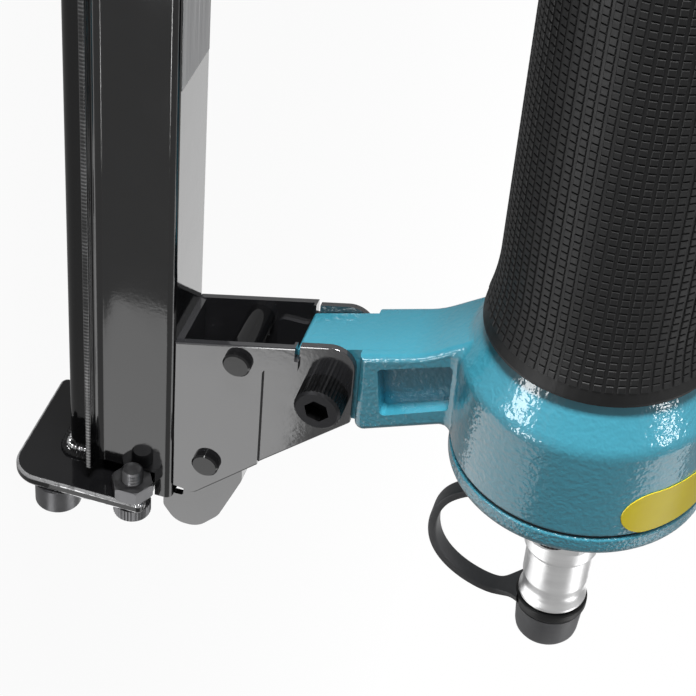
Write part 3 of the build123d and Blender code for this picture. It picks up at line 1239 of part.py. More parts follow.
def latch_pin():
    """Pin that the latch turns on."""
    return cheek_pin(LATCH_PIN_X, LATCH_PIN_Z)


PIECES = [
    body_casting, grip_sleeve, end_cap_gasket, end_cap, end_cap_screws, handle_sticker,
    air_plug, dust_cap, dust_cap_strap,
    magazine_channel, magazine_label, tray_rail, tray_nose, tray_nose_pin, tail_plate, tail_bolt, tail_nut,
    tail_stop_screw, pusher, pusher_spring,
    magazine_bracket, front_bracket_pin, latch_pin, bracket_screw, bracket_nut, latch_lever, latch_spring,
    cylinder_sleeve, bumper, piston, piston_ring, driver_blade,
    head_valve, head_valve_seal, head_valve_spring, cap_gasket, top_cap, top_cap_screws,
    exhaust_deflector, deflector_screw,
    nose_block, nose_screws, front_plate, front_plate_screws,
    trigger, trigger_pin, valve_bushing, valve_plug, valve_stem, stem_ring, stem_spring,
]

if __name__ == "__main__":
    os.makedirs("parts", exist_ok=True)
    for piece in PIECES:
        export_step(piece(), f"parts/{piece.__name__}.step")
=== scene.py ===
"""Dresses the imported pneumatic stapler: finishes, grip, rubber parts, coils, weld, light and camera."""
import math

import bmesh
import bpy
from mathutils import Matrix, Vector


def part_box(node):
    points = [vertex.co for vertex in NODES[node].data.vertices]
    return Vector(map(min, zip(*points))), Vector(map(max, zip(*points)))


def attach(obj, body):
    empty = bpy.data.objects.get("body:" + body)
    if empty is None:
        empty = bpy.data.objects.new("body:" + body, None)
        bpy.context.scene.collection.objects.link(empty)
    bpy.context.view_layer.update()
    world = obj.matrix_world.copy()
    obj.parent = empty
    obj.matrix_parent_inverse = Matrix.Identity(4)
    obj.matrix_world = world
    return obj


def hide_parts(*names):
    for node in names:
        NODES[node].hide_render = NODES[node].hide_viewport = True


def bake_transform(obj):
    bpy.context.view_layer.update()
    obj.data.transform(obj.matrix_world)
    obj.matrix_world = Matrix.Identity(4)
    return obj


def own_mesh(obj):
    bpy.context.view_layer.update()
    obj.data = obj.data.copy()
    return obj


bl_info = {
    "name": "Pneumatic Stapler",
    "version": (1, 0, 0),
    "blender": (4, 5, 0),
    "location": "3D View > Sidebar > Stapler",
    "description": "Dresses the packed stapler with its finishes, rubber parts, coils, light and camera",
    "category": "Object",
}

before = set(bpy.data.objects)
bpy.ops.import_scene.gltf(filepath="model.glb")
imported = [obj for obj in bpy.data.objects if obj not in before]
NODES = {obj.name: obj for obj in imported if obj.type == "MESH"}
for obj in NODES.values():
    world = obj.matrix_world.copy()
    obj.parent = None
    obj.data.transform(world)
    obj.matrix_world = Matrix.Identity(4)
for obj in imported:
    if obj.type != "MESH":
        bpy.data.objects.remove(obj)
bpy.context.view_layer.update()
MM = 0.001
AXIS_Z = 0.1015                                         # height of the handle axis
HANDLE = {"cent": (0, 0, AXIS_Z), "axis": (1, 0, 0)}    # for spins about the handle axis


# Settings

class StaplerSizes(bpy.types.PropertyGroup):
    """Sizes of the pieces that are made here"""
    tile_columns: bpy.props.IntProperty(
        name="Tile Columns", description="Grip tiles round the handle", default=64, min=8)
    tile_length: bpy.props.FloatProperty(
        name="Tile Pitch", description="Distance between tile rows along the grip",
        default=1.4 * MM, unit="LENGTH")
    tile_height: bpy.props.FloatProperty(
        name="Tile Height", description="How far a tile stands out of its groove",
        default=0.26 * MM, unit="LENGTH")
    groove_share: bpy.props.FloatProperty(
        name="Groove Share", description="Share of a tile's width taken by the lengthwise groove",
        default=0.27, subtype="FACTOR", min=0.02, max=0.6)
    smooth_band: bpy.props.FloatProperty(
        name="Smooth Band", description="Untiled length at each end of the grip",
        default=2.6 * MM, unit="LENGTH")
    strap_width: bpy.props.FloatProperty(
        name="Strap Width", description="Width of the dust cap's strap",
        default=3.6 * MM, unit="LENGTH")
    strap_flare: bpy.props.FloatProperty(
        name="Strap Flare", description="Width of the strap where it meets the cap",
        default=8.0 * MM, unit="LENGTH")
    strap_thickness: bpy.props.FloatProperty(
        name="Strap Thickness", description="Thickness of the strap and its ring",
        default=1.5 * MM, unit="LENGTH")
    weld_radius: bpy.props.FloatProperty(
        name="Weld Radius", description="Size of the weld bead on the tail plate",
        default=0.8 * MM, unit="LENGTH")
    wire_turn: bpy.props.IntProperty(
        name="Coil Steps", description="Steps in each turn of a spring", default=16, min=6)


class StaplerColours(bpy.types.PropertyGroup):
    """Colours of the enamels, the rubber and the sticker"""
    enamel_blue: bpy.props.FloatVectorProperty(
        name="Blue Enamel", description="Enamel of the casting",
        default=(0.055, 0.345, 0.465), subtype="COLOR")
    enamel_black: bpy.props.FloatVectorProperty(
        name="Black Enamel", description="Enamel of the magazine",
        default=(0.005, 0.005, 0.0055), subtype="COLOR")
    rubber_black: bpy.props.FloatVectorProperty(
        name="Rubber", description="Rubber of the grip and dust cap",
        default=(0.012, 0.012, 0.0125), subtype="COLOR")
    sticker_yellow: bpy.props.FloatVectorProperty(
        name="Sticker", description="Sticker on the drum",
        default=(1.0, 0.78, 0.02), subtype="COLOR")


def sizes():
    return bpy.context.scene.stapler_sizes


def colours():
    return bpy.context.scene.stapler_colours


# Shader helpers

MIX_FACTOR, MIX_FIRST, MIX_SECOND, MIX_RESULT = 0, 6, 7, 2    # sockets of a Mix node in colour mode


def start_finish(name):
    """New material with its node tree and shader."""
    finish = bpy.data.materials.new(name)
    finish.use_nodes = True
    tree = finish.node_tree
    return finish, tree, tree.nodes["Principled BSDF"]


def object_coordinates(tree, stretch=(1, 1, 1)):
    """Object coordinates, stretched."""
    coords = tree.nodes.new("ShaderNodeTexCoord")
    mapping = tree.nodes.new("ShaderNodeMapping")
    mapping.inputs["Scale"].default_value = stretch
    tree.links.new(coords.outputs["Object"], mapping.inputs["Vector"])
    return mapping.outputs["Vector"]


def noise(tree, scale, detail=2.0, rough=0.5, stretch=(1, 1, 1)):
    """Noise height from 0 to 1."""
    node = tree.nodes.new("ShaderNodeTexNoise")
    node.inputs["Scale"].default_value = scale
    node.inputs["Detail"].default_value = detail
    node.inputs["Roughness"].default_value = rough
    tree.links.new(object_coordinates(tree, stretch), node.inputs["Vector"])
    return node.outputs["Fac"]


def spread(tree, source, low, high, to_low=0.0, to_high=1.0):
    """Source mapped from one range to another and clamped."""
    node = tree.nodes.new("ShaderNodeMapRange")
    node.inputs["From Min"].default_value = low
    node.inputs["From Max"].default_value = high
    node.inputs["To Min"].default_value = to_low
    node.inputs["To Max"].default_value = to_high
    tree.links.new(source, node.inputs["Value"])
    return node.outputs["Result"]


def combine(tree, operation, first, second):
    """Math node on two sources, the second a socket or a number."""
    node = tree.nodes.new("ShaderNodeMath")
    node.operation = operation
    tree.links.new(first, node.inputs[0])
    if isinstance(second, (int, float)):
        node.inputs[1].default_value = second
    else:
        tree.links.new(second, node.inputs[1])
    return node.outputs["Value"]


def part_of(tree, kind, letter):
    """One component of the object coordinates or the object normal, without its sign."""
    coords = tree.nodes.new("ShaderNodeTexCoord")
    split = tree.nodes.new("ShaderNodeSeparateXYZ")
    tree.links.new(coords.outputs[kind], split.inputs[0])
    return combine(tree, "ABSOLUTE", split.outputs[letter], 0.0)


def two_tone(tree, factor, first, second):
    """Colour between two colours, each a tuple or a socket."""
    node = tree.nodes.new("ShaderNodeMix")
    node.data_type = "RGBA"
    tree.links.new(factor, node.inputs[MIX_FACTOR])
    for colour, socket in ((first, node.inputs[MIX_FIRST]), (second, node.inputs[MIX_SECOND])):
        if isinstance(colour, tuple):
            socket.default_value = (*colour, 1)
        else:
            tree.links.new(colour, socket)
    return node.outputs[MIX_RESULT]


def raise_surface(tree, shader, height, strength, distance, under=None):
    """Bump from a height, laid over another bump."""
    node = tree.nodes.new("ShaderNodeBump")
    node.inputs["Strength"].default_value = strength
    node.inputs["Distance"].default_value = distance
    tree.links.new(height, node.inputs["Height"])
    if under is not None:
        tree.links.new(under, node.inputs["Normal"])
    tree.links.new(node.outputs["Normal"], shader.inputs["Normal"])
    return node.outputs["Normal"]


def shade(colour, factor):
    """Colour made darker or lighter."""
    return tuple(min(1.0, channel * factor) for channel in colour)


def paint(finish, *names):
    """Puts a finish on CAD nodes."""
    for name in names:
        mesh = NODES[name].data
        mesh.materials.clear()
        mesh.materials.append(finish)


# Finishes

BARE_METAL = (0.72, 0.72, 0.73)     # shows where black enamel is worn
FLANGE_EDGE = 10.5 * MM             # Y at which the outer edge of a flange begins
FADE = 0.05 * MM                    # length over which the rubber's tone and its painted rear tone meet


def peel(tree, shader, fine, strength):
    """Orange peel of sprayed enamel, on the colour and its clear coat."""
    wave = raise_surface(tree, shader, noise(tree, 170, detail=1), 0.25, 0.3 * MM)
    normal = raise_surface(tree, shader, noise(tree, fine, detail=1), strength, 0.16 * MM, wave)
    tree.links.new(normal, shader.inputs["Coat Normal"])


def blue_enamel_finish(name, fine, strength, gloss):
    """Blue enamel under a clear coat; fine and strength set its orange peel."""
    finish, tree, shader = start_finish(name)
    blue = tuple(colours().enamel_blue)
    coat = two_tone(tree, noise(tree, 60, detail=3), shade(blue, 0.9), shade(blue, 1.08))
    tree.links.new(coat, shader.inputs["Base Color"])
    tree.links.new(spread(tree, noise(tree, 700), 0.3, 0.7, 0.3, 0.42), shader.inputs["Roughness"])
    shader.inputs["Specular IOR Level"].default_value = 0.3
    shader.inputs["Coat Weight"].default_value = 1.0
    shader.inputs["Coat Roughness"].default_value = gloss
    peel(tree, shader, fine, strength)
    return finish


def rounded_edges(tree):
    """Bright wear on a plate's rounded edges, which face between X and the sides."""
    facing = part_of(tree, "Normal", "X")
    edge = combine(tree, "MULTIPLY", spread(tree, facing, 0.97, 0.85), spread(tree, facing, 0.08, 0.3))
    patch = spread(tree, noise(tree, 700, detail=4, rough=0.7), 0.36, 0.5, 0.25, 1.0)
    return combine(tree, "MULTIPLY", edge, patch)


def flange_marks(tree):
    """Fine cross marks on the outer edges of the channel's flanges."""
    edge = spread(tree, part_of(tree, "Object", "Y"), FLANGE_EDGE, FLANGE_EDGE + 0.1 * MM)
    wave = tree.nodes.new("ShaderNodeTexWave")
    wave.inputs["Scale"].default_value = 420
    wave.inputs["Distortion"].default_value = 1.2
    wave.inputs["Detail Scale"].default_value = 0.4
    tree.links.new(object_coordinates(tree), wave.inputs["Vector"])
    ticks = spread(tree, wave.outputs["Fac"], 0.4, 0.9, 0.06, 0.4)
    patch = spread(tree, noise(tree, 160, detail=3, rough=0.6), 0.35, 0.65, 0.2, 1.0)
    return combine(tree, "MULTIPLY", edge, combine(tree, "MULTIPLY", ticks, patch))


def black_enamel_finish(name, shine, tone, marks=None):
    """Gloss black enamel; marks gives the share of bare metal."""
    finish, tree, shader = start_finish(name)
    black = shade(colours().enamel_black, tone)
    smear = noise(tree, 90, detail=4, rough=0.6)
    coat = two_tone(tree, smear, shade(black, 0.8), shade(black, 1.3))
    if marks:
        bright = marks(tree)
        coat = two_tone(tree, bright, coat, BARE_METAL)
        tree.links.new(bright, shader.inputs["Metallic"])
    tree.links.new(coat, shader.inputs["Base Color"])
    tree.links.new(spread(tree, smear, 0.35, 0.75, 0.06, 0.14), shader.inputs["Roughness"])
    shader.inputs["Specular IOR Level"].default_value = shine
    broad = raise_surface(tree, shader, noise(tree, 130), 0.08, 0.25 * MM)
    raise_surface(tree, shader, noise(tree, 1300), 0.2, 0.04 * MM, broad)
    return finish


def dusty_black(tree, dust, tone):
    """Rubber black, lighter where there is dust."""
    black = shade(colours().rubber_black, tone)
    return two_tone(tree, dust, shade(black, 0.75), shade(black, 1.5))


def rubber_finish(name, rough, grain, tone=1.0, behind=None):
    """Dusty rubber; behind gives an X, below zero, and the tone at the rear of it, which paints light and
    shade.
    """
    finish, tree, shader = start_finish(name)
    dust = noise(tree, 220, detail=5, rough=0.7)
    coat = dusty_black(tree, dust, tone)
    if behind:
        edge, painted_rear_tone = behind
        # Painted light and shade: the rubber behind the X takes another tone, lighter on the dust cap's cup
        # and darker on the grip's rear band.
        painted_rear_share = spread(tree, part_of(tree, "Object", "X"), -edge, -edge + FADE)
        coat = two_tone(tree, painted_rear_share, coat, dusty_black(tree, dust, painted_rear_tone))
    tree.links.new(coat, shader.inputs["Base Color"])
    tree.links.new(spread(tree, dust, 0.3, 0.7, rough - 0.06, rough + 0.08), shader.inputs["Roughness"])
    shader.inputs["Specular IOR Level"].default_value = 0.35
    raise_surface(tree, shader, noise(tree, grain, detail=3), 0.2, 0.05 * MM)
    return finish


def metal_finish(name, colour, rough, streak):
    """Metal with fine streaks; streak holds the noise's stretch."""
    finish, tree, shader = start_finish(name)
    shader.inputs["Metallic"].default_value = 1.0
    lines = noise(tree, 1.0, detail=3, rough=0.6, stretch=streak)
    tone = two_tone(tree, lines, shade(colour, 0.85), shade(colour, 1.1))
    tree.links.new(tone, shader.inputs["Base Color"])
    tree.links.new(spread(tree, lines, 0.25, 0.75, rough * 0.75, rough * 1.3), shader.inputs["Roughness"])
    raise_surface(tree, shader, lines, 0.08, 0.03 * MM)
    return finish


def sticker_finish():
    """Yellow vinyl with a slightly uneven colour."""
    finish, tree, shader = start_finish("yellow_vinyl")
    yellow = tuple(colours().sticker_yellow)
    tone = two_tone(tree, noise(tree, 300, detail=3), shade(yellow, 0.93), shade(yellow, 1.05))
    tree.links.new(tone, shader.inputs["Base Color"])
    shader.inputs["Roughness"].default_value = 0.32
    shader.inputs["Specular IOR Level"].default_value = 0.3
    raise_surface(tree, shader, noise(tree, 500, detail=1), 0.12, 0.06 * MM)
    return finish


# Mesh helpers

SHARP_ANGLE = math.radians(50)      # edges that turn further stay sharp
WIRE_SIDES = 8                      # sides of a spring's round wire


def finish_piece(name, bm, finish, body, slot, *nodes, smooth=True):
    """Turns a bmesh into a piece that rides on a body and stands for CAD nodes."""
    bmesh.ops.recalc_face_normals(bm, faces=bm.faces)
    mesh = bpy.data.meshes.new(name)
    bm.to_mesh(mesh)
    bm.free()
    if smooth:
        mesh.shade_smooth()
        mesh.set_sharp_from_angle(angle=SHARP_ANGLE)
    mesh.materials.append(finish)
    piece = bpy.data.objects.new(name, mesh)
    bpy.context.scene.collection.objects.link(piece)
    if body is not None:
        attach(piece, body)
    if nodes:
        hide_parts(*nodes)
    return piece


def loop_of(bm, points):
    """Closed wire through points."""
    verts = [bm.verts.new(point) for point in points]
    edges = [bm.edges.new((verts[i], verts[(i + 1) % len(verts)])) for i in range(len(verts))]
    return verts + edges


def lathe(bm, wire, steps):
    """Turns a wire all the way about the handle axis."""
    bmesh.ops.spin(bm, geom=wire, angle=math.tau, steps=steps, use_merge=True, **HANDLE)


def soften(points, reaches, steps=4):
    """Open outline with its inner corners rounded; a reach is a corner's length along both lines."""
    outline = [Vector(points[0])]
    for before, corner, after, reach in zip(points, points[1:], points[2:], reaches):
        corner = Vector(corner)
        start = corner + (Vector(before) - corner).normalized() * reach
        end = corner + (Vector(after) - corner).normalized() * reach
        for step in range(steps + 1):
            share = step / steps
            outline.append(start.lerp(corner, share).lerp(corner.lerp(end, share), share))
    return outline + [Vector(points[-1])]


def pulled_line(points, steps):
    """Smooth line pulled by control points, from the first to the last."""
    points = [Vector(point) for point in points]
    padded = [points[0]] * 2 + points + [points[-1]] * 2
    line = []
    for a, b, c, d in zip(padded, padded[1:], padded[2:], padded[3:]):
        for step in range(steps):
            t = step / steps
            pull = (1 - t) ** 3 * a + (3 * t ** 3 - 6 * t * t + 4) * b
            pull += (3 * t + 3 * t * t - 3 * t ** 3 + 1) * c + t ** 3 * d
            line.append(pull / 6)
    return line + [points[-1]]


def sweep(bm, section, line, across, widths, heights):
    """Draws a closed section along a line by extruding its end face; across is the width's direction."""
    face = None
    for i, centre in enumerate(line):
        along = (line[min(i + 1, len(line) - 1)] - line[max(i - 1, 0)]).normalized()
        out = along.cross(across).normalized()
        spots = [centre + across * (u * widths[i]) + out * (v * heights[i]) for u, v in section]
        if face is None:
            face = bm.faces.new([bm.verts.new(spot) for spot in spots])
            order = {tuple(vert.co): k for k, vert in enumerate(face.verts)}
            continue
        drawn = bmesh.ops.extrude_face_region(bm, geom=[face])["geom"]
        face = next(item for item in drawn if isinstance(item, bmesh.types.BMFace))
        moved = {}
        for vert in face.verts:
            index = order[tuple(vert.co)]
            vert.co = spots[index]
            moved[tuple(vert.co)] = index
        order = moved


def round_section(count):
    """Closed round section of unit width and height."""
    angles = [math.tau * (step + 0.5) / count for step in range(count)]
    return [(math.cos(angle) / 2, math.sin(angle) / 2) for angle in angles]


def boxed_section(corner, narrow=0.45, steps=3):
    """Closed section of unit width and height with rounded corners.

    A round takes the share corner of the height, and narrow times that share of the width.
    """
    section = []
    for u, v, turn in ((0.5, 0.5, 0), (-0.5, 0.5, 1), (-0.5, -0.5, 2), (0.5, -0.5, 3)):
        for step in range(steps + 1):
            angle = math.tau * (turn + step / steps) / 4
            round_u = corner * narrow * (math.cos(angle) - math.copysign(1, u))
            round_v = corner * (math.sin(angle) - math.copysign(1, v))
            section.append((u + round_u, v + round_v))
    return section


def coil(bm, start, middle, axis, wire, length, turns):
    """Round wire wound about an axis, as a helix from start."""
    radial = (start - middle).normalized()
    turn = radial.cross(axis).to_track_quat("Z", "Y").to_matrix().to_4x4()
    matrix = Matrix.Translation(start) @ turn
    ring = bmesh.ops.create_circle(bm, cap_ends=True, segments=WIRE_SIDES, radius=wire, matrix=matrix)
    face = ring["verts"][0].link_faces[0]
    steps = round(turns * sizes().wire_turn)
    bmesh.ops.spin(bm, geom=[face, *face.edges, *face.verts], cent=middle, axis=axis,
                   angle=math.tau * turns, steps=steps, dvec=axis * (length / steps))


# Springs

# Node, body, axis, wire radius and pitch
SPRINGS = (
    ("pusher_spring", "tray", "x", 0.35 * MM, 3.0 * MM),
    ("latch_spring", "frame", "y", 0.45 * MM, 1.0 * MM),
    ("head_valve_spring", "frame", "z", 0.7 * MM, 2.6 * MM),
    ("stem_spring", "frame", "z", 0.4 * MM, 1.5 * MM),
)


def make_coils():
    """Coils in place of the plain spring tubes."""
    steel = metal_finish("spring_wire", (0.5, 0.5, 0.52), 0.25, (1500, 1500, 1500))
    made = {}
    for node, body, letter, wire, pitch in SPRINGS:
        low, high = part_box(node)
        lane = "xyz".index(letter)
        axis = Vector((0, 0, 0))
        axis[lane] = 1
        side = Vector((0, 0, 1)) if letter != "z" else Vector((1, 0, 0))
        length = high[lane] - low[lane] - 2 * wire
        middle = (low + high) / 2
        middle[lane] = low[lane] + wire
        radius = (high - low).dot(side) / 2 - wire
        bm = bmesh.new()
        coil(bm, middle + side * radius, middle, axis, wire, length, round(length / pitch))
        made[node] = finish_piece(node + "_coil", bm, steel, body, "spring_steel", node)
    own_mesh(made["pusher_spring"])
    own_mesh(made["head_valve_spring"])
    low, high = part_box("stem_spring")
    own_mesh(made["stem_spring"])


# Dust cap

# Cup from the middle of its closed end to the middle of its floor: distance and radius in millimetres
CAP_OUTLINE = (
    (0, 0), (0, 5.7), (7.2, 6.2), (7.2, 5.2), (7.9, 5.2),
    (7.9, 6.6), (9.7, 6.6), (9.7, 5.2), (1.8, 4.75), (1.8, 0),
)
CAP_ROUNDS = (1.8, 0.15, 0.08, 0.08, 0.3, 0.45, 0.2, 0.8)     # reach of each corner's round in millimetres
CAP_RIM = 7.5 * MM              # distance of the rim's groove from the closed end, where the painted lighter cup meets the dark rim
CAP_STEPS = 72

STRAP_HANG = 24 * MM            # depth of the strap's loop below the handle axis
STRAP_ROOT = 5.0 * MM           # length of the flare at the cap
STRAP_STEPS = 14
RING_BORE = 6.6 * MM
RING_RADIUS = 9.6 * MM
RING_ROUNDS = (0.3 * MM, 0.3 * MM, 0.1 * MM)
RING_STEPS = 64


def make_dust_cap():
    """Rubber cup with a rim and a groove behind it."""
    closed_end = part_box("dust_cap")[0].x
    bm = bmesh.new()
    outline = soften(CAP_OUTLINE, CAP_ROUNDS)
    verts = [bm.verts.new((closed_end + x * MM, 0, AXIS_Z + r * MM)) for x, r in outline]
    edges = [bm.edges.new(pair) for pair in zip(verts, verts[1:])]
    lathe(bm, verts + edges, CAP_STEPS)
    bmesh.ops.remove_doubles(bm, verts=bm.verts, dist=0.002 * MM)
    # Painted light: the cup behind the middle of the groove is 12 times lighter than the rim, standing in
    # for light the drum's shade takes away; the step of tone in the groove paints its shadow line.
    behind = (closed_end + CAP_RIM, 20.0)
    finish = rubber_finish("cap_rubber_painted_light", rough=0.42, grain=1800, tone=1.6, behind=behind)
    finish_piece("rubber_dust_cap", bm, finish, "dust_cap", "black_rubber", "dust_cap")


def make_strap():
    """Moulded strap with a ring round the plug and a flared root on the cap's rim."""
    rim_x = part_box("dust_cap")[1].x - 0.85 * MM
    thickness = sizes().strap_thickness
    ring_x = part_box("dust_cap_strap")[1].x - thickness / 2
    hang = AXIS_Z - STRAP_HANG
    route = [
        (ring_x, AXIS_Z - 8.9 * MM),
        (ring_x - 1.2 * MM, AXIS_Z - 11.0 * MM),
        (ring_x - 4.1 * MM, hang + 10.3 * MM),
        (ring_x - 8.2 * MM, hang + 1.1 * MM),
        (rim_x + 7.8 * MM, hang - 0.2 * MM),
        (rim_x + 0.6 * MM, hang + 5.2 * MM),
        (rim_x - 2.6 * MM, hang + 13.6 * MM),
        (rim_x - 0.6 * MM, hang + 16.6 * MM),
        (rim_x, AXIS_Z - 5.6 * MM),
    ]
    line = pulled_line([(x, 0, z) for x, z in route], STRAP_STEPS)
    left = [0.0]
    for here, before in zip(line[-2::-1], line[:0:-1]):
        left.append(left[-1] + (here - before).length)
    left.reverse()
    spare = sizes().strap_flare - sizes().strap_width
    widths = [sizes().strap_width + spare * max(0.0, 1 - gap / STRAP_ROOT) ** 2 for gap in left]
    bm = bmesh.new()
    sweep(bm, boxed_section(0.16), line, Vector((0, 1, 0)), widths, [thickness] * len(line))
    rear, front = ring_x - thickness / 2, ring_x + thickness / 2
    ring = [(rear, RING_BORE), (rear, RING_RADIUS), (front, RING_RADIUS), (front, RING_BORE)]
    ring = soften([*ring, ring[0]], RING_ROUNDS, steps=2)
    lathe(bm, loop_of(bm, [(x, 0, AXIS_Z + radius) for x, radius in ring[:-1]]), RING_STEPS)
    # Painted light: the strap is the cap's rubber, given a tone 8.5 times the rubber black so that it looks
    # more brightly lit.
    finish = rubber_finish("strap_rubber_painted_lighter", rough=0.45, grain=1800, tone=8.5)
    strap = finish_piece("rubber_strap", bm, finish, None, "black_rubber", "dust_cap_strap")
    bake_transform(strap)


# Weld

WELD_STEPS = 12


def rippled(size, ripple, count):
    """Widths along a bead, which swell and shrink in two uneven waves."""
    waves = [math.sin(i * 1.9) + 0.4 * math.sin(i * 0.83) for i in range(count)]
    return [size * (1 + ripple * wave) for wave in waves]


def make_weld():
    """Rippled bead where the rail meets the tail plate, and its wider enamelled toe."""
    low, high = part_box("tray_rail")
    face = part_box("tail_plate")[1].x
    side, bottom = high.y, low.z
    steel = metal_finish("weld_steel", (0.75, 0.75, 0.76), 0.16, (900, 900, 900))
    enamel = black_enamel_finish("weld_enamel", shine=0.4, tone=1.0)
    for name, finish, slot, gap, lift, size, ripple in (
            ("weld_bead", steel, "bare_steel", 0.15 * MM, 1.1 * MM, 0.7, 0.2),
            ("weld_toe", enamel, "black_enamel", 0.7 * MM, 0.0, 1.5, 0.05)):
        under, beside = bottom - gap, side + gap
        path = [
            (-2.6 * MM, under), (1.5 * MM, under), (side - 0.6 * MM, under),
            (beside, bottom + 0.6 * MM), (beside, bottom + 2.4 * MM), (beside, bottom + 4.2 * MM),
        ]
        line = pulled_line([(face, y, z) for y, z in path], WELD_STEPS)
        line = [spot + Vector((lift, 0, 0)) for spot in line]
        wide = rippled(size * 2 * sizes().weld_radius, ripple, len(line))
        bm = bmesh.new()
        sweep(bm, round_section(12), line, Vector((1, 0, 0)), wide, wide)
        finish_piece(name, bm, finish, "tray", slot)


# Grip

GRIP_RADIUS = 18.05 * MM            # straight part, under the tiles
GRIP_END_RADIUS = 20.0 * MM         # rear end
GRIP_FLARE = 13.6 * MM              # length over which the radius grows to the rear
GRIP_BORE = 15.66 * MM
GRIP_END_BORE = 18.06 * MM
GRIP_ROUND = 0.7 * MM               # rounded rear edge
GRIP_BEVEL = 0.5 * MM               # bevelled front edge
TILE_GAP = 0.16 * MM                # groove between two rows of tiles
TILE_STEPS = ((0.05 * MM, 0.65), (0.1 * MM, 0.35))      # inset and share of the height of a tile's steps


def grip_radius(x, rear):
    """Radius of the grip's surface, which flares in an arc towards its rear end."""
    reach = max(0.0, rear + GRIP_FLARE - x)
    rise = GRIP_END_RADIUS - GRIP_RADIUS
    arc = (GRIP_FLARE * GRIP_FLARE + rise * rise) / (2 * rise)
    return GRIP_RADIUS + arc - math.sqrt(arc * arc - reach * reach)


def grip_outline(rear, front, rows):
    """Closed outline of the grip's wall, with a point at each side of each tile row."""
    band = sizes().smooth_band
    pitch = (front - rear - 2 * band) / rows
    stations = [rear + GRIP_ROUND, rear + band - 0.1 * MM, rear + band]
    for row in range(rows):
        stations.append(rear + band + row * pitch + TILE_GAP)
        stations.append(rear + band + (row + 1) * pitch)
    outline = [(rear, GRIP_END_RADIUS - GRIP_ROUND), (rear + 0.2 * MM, GRIP_END_RADIUS - 0.2 * MM)]
    outline += [(x, grip_radius(x, rear)) for x in stations]
    outline += [(front - GRIP_BEVEL, GRIP_RADIUS), (front, GRIP_RADIUS - GRIP_BEVEL)]
    outline += [(front, GRIP_BORE), (rear + GRIP_FLARE, GRIP_BORE), (rear, GRIP_END_BORE)]
    return outline


def faces_inward(face):
    """True where a face looks towards the handle axis."""
    middle = face.calc_center_median()
    return face.normal.dot(middle - Vector((middle.x, 0, AXIS_Z))) < 0


def make_grip():
    """Rubber grip with rows of raised tiles, made as one column and spun round the handle."""
    low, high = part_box("grip_sleeve")
    rear, front = low.x, high.x
    band = sizes().smooth_band
    rows = round((front - rear - 2 * band) / sizes().tile_length)
    columns = sizes().tile_columns
    step = math.tau / columns
    groove = step * sizes().groove_share
    bm = bmesh.new()
    wire = loop_of(bm, [(x, 0, AXIS_Z + r) for x, r in grip_outline(rear, front, rows)])
    tile = bmesh.ops.spin(bm, geom=wire, angle=step - groove, steps=1, **HANDLE)
    tile_faces = list(bm.faces)
    edge = [item for item in tile["geom_last"] if not isinstance(item, bmesh.types.BMFace)]
    bmesh.ops.spin(bm, geom=edge, angle=groove, steps=1, **HANDLE)
    raised = []
    for face in tile_faces:
        middle = face.calc_center_median()
        outside = math.hypot(middle.y, middle.z - AXIS_Z) > GRIP_RADIUS - 0.3 * MM
        wide = max(v.co.x for v in face.verts) - min(v.co.x for v in face.verts)
        if rear + band < middle.x < front - band and outside and wide > 2 * TILE_GAP:
            raised.append(face)
    bmesh.ops.recalc_face_normals(bm, faces=bm.faces)
    if any(faces_inward(face) for face in raised):
        bmesh.ops.reverse_faces(bm, faces=bm.faces)
    for inset, share in TILE_STEPS:
        depth = share * sizes().tile_height
        bmesh.ops.inset_individual(bm, faces=raised, thickness=inset, depth=depth, use_even_offset=True)
    column = list(bm.verts) + list(bm.edges) + list(bm.faces)
    bmesh.ops.spin(bm, geom=column, angle=math.tau - step, steps=columns - 1, use_duplicate=True, **HANDLE)
    bmesh.ops.remove_doubles(bm, verts=bm.verts, dist=0.004 * MM)
    # Painted shade: the smooth band at the grip's rear end is given half the tone of the rest of the grip.
    finish = rubber_finish("grip_rubber_painted_shade", rough=0.5, grain=2400, tone=0.7, behind=(rear + band, 0.35))
    finish_piece("tiled_grip", bm, finish, "frame", "black_rubber", "grip_sleeve", smooth=False)


# Stage

FLOOR_SIZE = 6.0
FLOOR_MIRROR = 0.3                  # share of the floor's white that shows in reflections
WORLD_MIRROR = 0.32                 # the same for the world
WORLD_SOFT = 0.12                   # strength of the world's light
TARGET = (-0.15, 0.0, 0.09)         # place on the tool that lamps point at

# Name, place, target, size and power
LAMPS = (
    ("key", (0.57, 0.155, 0.08), TARGET, (0.15, 0.3), 10.0),
    ("overhead", (-0.08, 0.16, 0.60), (-0.08, 0.16, 0.0), (0.045, 0.13), 0.32),
    ("back_panel", (-0.72, 0.06, 0.68), TARGET, (0.4, 0.4), 0.75),
    ("far_card", (-0.50, -0.48, 0.20), (-0.12, 0.0, 0.03), (0.35, 0.25), 0.32),
)
# Name, place, turn about Z in degrees, size and power
CARDS = (
    ("cone_card", (-0.118, 0.100, 0.004), 0, (0.03, 0.05), 0.06),
    ("shoulder_card", (-0.195, 0.150, 0.004), 0, (0.03, 0.07), 0.09),
    ("side_card", (-0.299, 0.089, 0.004), -46, (0.22, 0.10), 0.085),
)

CAMERA_PLACE = (0.0967, 0.2733, 0.1249)
CAMERA_AHEAD = (-0.6706, -0.7212, -0.1736)
CAMERA_UP = (0.7387, -0.6279, -0.2449)
CAMERA_LENS = 113.62
CAMERA_SENSOR = 36.0


def seen_or_mirrored(tree, mirror):
    """1 for rays from the camera or through glass, and the mirror share for rays off shiny surfaces."""
    path = tree.nodes.new("ShaderNodeLightPath")
    mirrored = combine(tree, "MULTIPLY", path.outputs["Is Glossy Ray"], mirror)
    through = combine(tree, "MAXIMUM", mirrored, path.outputs["Is Transmission Ray"])
    return combine(tree, "MAXIMUM", path.outputs["Is Camera Ray"], through)


